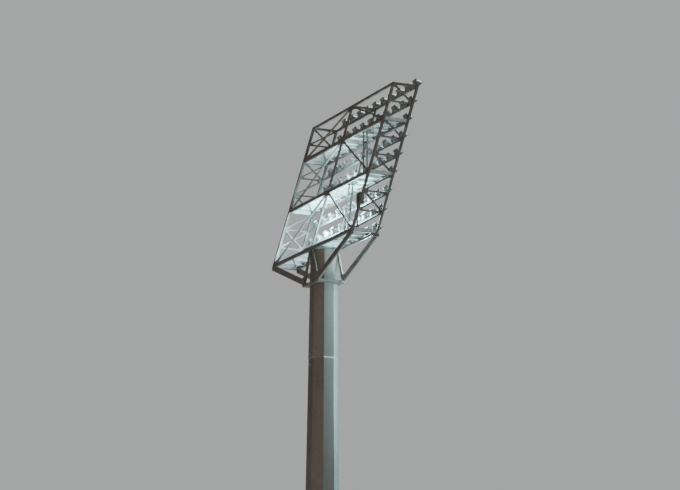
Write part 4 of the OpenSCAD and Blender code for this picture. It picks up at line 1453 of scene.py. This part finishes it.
# Strap bolts and a tilt quadrant on every stirrup
stirrupFit = {"boltAside": .105, "bolt": (.024, .014), "strapThick": .006, "strapBehind": .200,
              "armOuter": .228, "inner": .024, "outer": .066, "thick": .003, "notches": 9, "notch": .004,
              "sweep": 62, "turn": 100, "smallBolt": (.010, .005), "smallAside": .030,
              "smallAt": (.0028, -.004, .044)}


def quadrantShape():
    inner, outer, steps = stirrupFit["inner"] * .7, stirrupFit["outer"], 2 * stirrupFit["notches"]
    reach = math.radians(stirrupFit["sweep"])
    rim = []
    for n in range(steps + 1):
        angle = -reach + 2 * reach * n / steps
        radius = outer - (stirrupFit["notch"] if n % 2 else 0)
        rim.append((radius * math.cos(angle), radius * math.sin(angle)))
    hub = [(inner * math.cos(a), inner * math.sin(a)) for a in (reach, 2.1, 3.14, -2.1, -reach)]
    return plateShape(rim + hub, 0, stirrupFit["thick"])


def makeStirrupFittings():
    quadrants, spots, small = [], [], []
    quadrant = quadrantShape()
    # The quadrant stands on the arm's outer face, open towards the lamp's back
    turn = endPlane(0) @ Matrix.Rotation(math.radians(stirrupFit["turn"]), 4, "Z")
    arm = stirrupFit["armOuter"]
    out, back, above = stirrupFit["smallAt"]
    for row in range(1, rowCount + 1):
        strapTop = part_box(f"stirrups_{row}")[0].z + stirrupFit["strapThick"]
        for x, y, z in lampPlaces(row):
            spots += [((x + side * stirrupFit["boltAside"], y + stirrupFit["strapBehind"], strapTop),
                       (0, 0, 1))
                      for side in (-1, 1)]
            quadrants.append(placed(quadrant, Matrix.Translation((x + arm - .0002, y, z)) @ turn))
            small += [((x + arm + out, y + stirrupFit["smallAside"] * s + back, z + above), (1, 0, 0))
                      for s in (-1, 1)]
    bolts = [boltsAt(spots, *stirrupFit["bolt"]), boltsAt(small, *stirrupFit["smallBolt"])]
    makePiece("stirrup_fittings", {"railZinc": quadrants, "boltZinc": bolts}, "mast")


# Feet and top brackets of both ladders. The feet's places count outwards from a stile's middle, forwards
# and up, and the brackets' downwards from the middle of their flat bar
ladderFit = {"stile": .030, "bolt": (.019, .009), "footPlate": (.052, .085, .006),
             "footPlateAt": (.041, .003), "footSide": (.006, .050, .070), "footSideAt": (.018, .036),
             "footBoltOut": .045, "sideBoltAt": (.021, -.002, .045), "bar": (.001, .050, .006),
             "barRise": .012, "besideJoist": .05, "lug": (.006, .050, .060), "lugDrop": .028,
             "lugBoltDrop": .036}


def makeLadderFittings():
    plates, spots = [], []
    stile, bar, lug = ladderFit["stile"], ladderFit["bar"], ladderFit["lug"]
    plate, side = ladderFit["footPlate"], ladderFit["footSide"]
    plateOut, plateUp = ladderFit["footPlateAt"]
    sideOut, sideUp = ladderFit["footSideAt"]
    boltOut, boltForward, boltUp = ladderFit["sideBoltAt"]
    for node, level in (("ladder_lower", levels[1]), ("ladder_upper", levels[2])):
        low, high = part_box(node)
        slope = -(boxSize(node).y - 2 * stile) / boxSize(node).z
        footY = high.y - stile
        bay = round((high.x + ladderFit["besideJoist"] + halfWidth) / joistPitch)
        joistFace = -halfWidth + bay * joistPitch - joistHalf
        for x, aside in ((low.x + stile / 2, -1), (high.x - stile / 2, 1)):
            plates += [boxShape(plate, (x + aside * plateOut, footY, low.z + plateUp)),
                       boxShape(side, (x + aside * sideOut, footY, low.z + sideUp))]
            spots += [((x + aside * ladderFit["footBoltOut"], footY, low.z + plate[2]), (0, 0, 1)),
                      ((x + aside * boltOut, footY + boltForward, low.z + boltUp), (aside, 0, 0))]
        z = level + ladderFit["barRise"]
        y = footY + slope * (z - low.z)
        plates.append(boxShape((joistFace - high.x + bar[0], *bar[1:]), ((joistFace + high.x) / 2, y, z)))
        for x, way in ((high.x + lug[0] / 2, 1), (joistFace - lug[0] / 2, -1)):
            plates.append(boxShape(lug, (x, y, z - ladderFit["lugDrop"])))
            spots.append(((x + way * lug[0] / 2, y, z - ladderFit["lugBoltDrop"]), (way, 0, 0)))
    makeFittings("ladder_fittings", plates, spots, ladderFit["bolt"], "railZinc")


# Cup-head screws along the joists hold the floor panels down, but not where a hatch is cut out
floorScrew = {"aside": .018, "edge": .04, "inner": .24, "sunk": .0003, "hatchReach": .3, "hatchBays": .75}
screwHead = ((.0095, 0), (.0095, .0008), (.0080, .0026), (.0045, .0038), (0, .0042))


def makeFloorScrews():
    screws = []
    head = latheShape(screwHead, 12)
    hatches = {1: boxMiddle("ladder_lower").x, 2: boxMiddle("ladder_upper").x}
    for number in range(3):
        low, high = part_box(f"deck_{number + 1}_floor")
        edge, inner = floorScrew["edge"], floorScrew["inner"]
        for i in range(1, joistBays):
            x = -halfWidth + i * joistPitch
            away = x - hatches.get(number, math.inf)
            for aside in (-floorScrew["aside"], floorScrew["aside"]):
                for y in (low.y + edge, low.y + inner, high.y - inner, high.y - edge):
                    beside = abs(away) < floorScrew["hatchBays"] * joistPitch and away * aside < 0
                    if beside and abs(y - (low.y + high.y) / 2) < floorScrew["hatchReach"]:
                        continue
                    at = (x + aside, y, high.z - floorScrew["sunk"])
                    screws.append(placed(head, Matrix.Translation(at)))
    makePiece("floor_screws", {"boltZinc": screws}, "mast")


makeStirrupFittings()
makeLadderFittings()
makeFloorScrews()
print("stirrup, ladder and floor fittings made")


# Floor, light and camera
stageSet = {"floorReach": 150.0, "floorColour": (.66, .66, .65, 1), "skyColour": (.80, .81, .82, 1),
            "skyLight": .12, "skySeen": .56}

floorMesh = bpy.data.meshes.new("studioFloor")
reach = stageSet["floorReach"]
floorMesh.from_pydata([(-reach, -reach, 0), (reach, -reach, 0), (reach, reach, 0), (-reach, reach, 0)], [],
                      [(0, 1, 2, 3)])
studioFloor = bpy.data.objects.new("studioFloor", floorMesh)
bpy.context.scene.collection.objects.link(studioFloor)
floorShader = startMaterial("floorPaint", Roughness=.8)[1]
floorShader["Base Color"].default_value = stageSet["floorColour"]
floorMesh.materials.append(materials["floorPaint"])
studioFloor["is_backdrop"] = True

# The backdrop is seen brighter than it lights
sky = bpy.data.worlds.new("studioSky")
bpy.context.scene.world = sky
sky.use_nodes = True
background = sky.node_tree.nodes["Background"].inputs
background["Color"].default_value = stageSet["skyColour"]
seen = addNode(sky.node_tree, "ShaderNodeLightPath").outputs["Is Camera Ray"]
feed(sky.node_tree, background["Strength"],
     timesPlus(sky.node_tree, seen, stageSet["skySeen"] - stageSet["skyLight"], stageSet["skyLight"]))

# A broad sun from above brightens the floor, whose bounce lights the undersides. The rest are soft, tinted,
# and linked to everything but the floor, which stays plain. One of them lights the front struts alone
unlit = bpy.data.collections.new("keptPlain")
unlit.objects.link(studioFloor)
unlit.collection_objects[0].light_linking.link_state = "EXCLUDE"
frontStruts = bpy.data.collections.new("frontStruts")
for name in ("struts_front", "collar_fittings", "strut_fittings"):
    frontStruts.objects.link(bpy.data.objects[name])
headMiddle = Vector((0, planeY((levels[0] + levels[3]) / 2), (levels[0] + levels[3]) / 2))

# Kind, place from the head's middle, size (an angle for the sun), power, colour, and what it lights
softLights = {
    "skyPanel": ("SUN", (12, -38, 90), math.radians(35), 2.8, (.94, .98, 1.0), None),
    "keyRight": ("AREA", (-4, -57, -3), 22, 27500, (.38, .84, 1.0), unlit),
    "lowGlow": ("AREA", (-4, -8.5, -7.5), 4, 2800, (.46, .89, 1.0), unlit),
    "collarGlow": ("POINT", (-2.3, -2.2, -4.3), .8, 520, (.48, .90, 1.0), unlit),
    "strutGlow": ("POINT", (-1.35, -.40, -3.45), .15, 150, (.50, .90, 1.0), unlit),
    "frontStrutGlow": ("POINT", (-1.35, -.46, -3.25), .15, 300, (.50, .90, 1.0), frontStruts),
    "storeyGlowNear": ("POINT", (-1.4, .25, -1.6), .6, 600, (.46, .89, 1.0), unlit),
    "storeyGlowFar": ("POINT", (1.5, .25, -1.6), .6, 750, (.46, .89, 1.0), unlit),
    "middleGlow": ("POINT", (.6, -.13, .45), .6, 170, (.55, .92, 1.0), unlit),
    "fillLeft": ("AREA", (-34, 46, 2), 34, 2600, (1.0, .76, .56), unlit),
}
sizeNames = {"SUN": "angle", "POINT": "shadow_soft_size", "AREA": "size"}
for lightName, (kind, place, size, power, colour, receivers) in softLights.items():
    softLight = bpy.data.lights.new(lightName, kind)
    softLight.energy = power
    softLight.color = colour
    if kind == "AREA":
        softLight.shape = "DISK"
    setattr(softLight, sizeNames[kind], size)
    lightObject = bpy.data.objects.new(lightName, softLight)
    bpy.context.scene.collection.objects.link(lightObject)
    lightObject.visible_camera = False
    lightObject.light_linking.receiver_collection = receivers
    lightObject.location = headMiddle + Vector(place)
    lightObject.rotation_euler = (-Vector(place)).to_track_quat("-Z", "Y").to_euler()

shot = {"azimuth": -114.825, "elevation": -12.616, "roll": .3626, "distance": 98.448, "lens": 137.647,
        "sensor": 36, "farthest": 1000, "aside": .6025, "above": .1777}
azimuth, elevation, roll = (math.radians(shot[key]) for key in ("azimuth", "elevation", "roll"))
back = Vector((math.sin(azimuth) * math.cos(elevation), -math.cos(azimuth) * math.cos(elevation),
               math.sin(elevation)))
right = Vector((math.cos(azimuth), math.sin(azimuth), 0))
up = back.cross(right)
target = Vector((0, 0, levels[0] + shot["above"])) + right * shot["aside"]
cameraData = bpy.data.cameras.new("viewer")
cameraData.lens = shot["lens"]
cameraData.sensor_width = shot["sensor"]
cameraData.clip_end = shot["farthest"]
viewer = bpy.data.objects.new("viewer", cameraData)
bpy.context.scene.collection.objects.link(viewer)
turn = Matrix((right * math.cos(roll) + up * math.sin(roll),
               up * math.cos(roll) - right * math.sin(roll), back))
viewer.matrix_world = Matrix.Translation(target + back * shot["distance"]) @ turn.transposed().to_4x4()
bpy.context.scene.camera = viewer
print("floor, lights and camera set")

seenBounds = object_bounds()
growth = [max(cadBounds[0][i] - seenBounds[0][i], seenBounds[1][i] - cadBounds[1][i]) for i in range(3)]
print("visual box stands outside the packed one by", [round(value, 4) for value in growth])
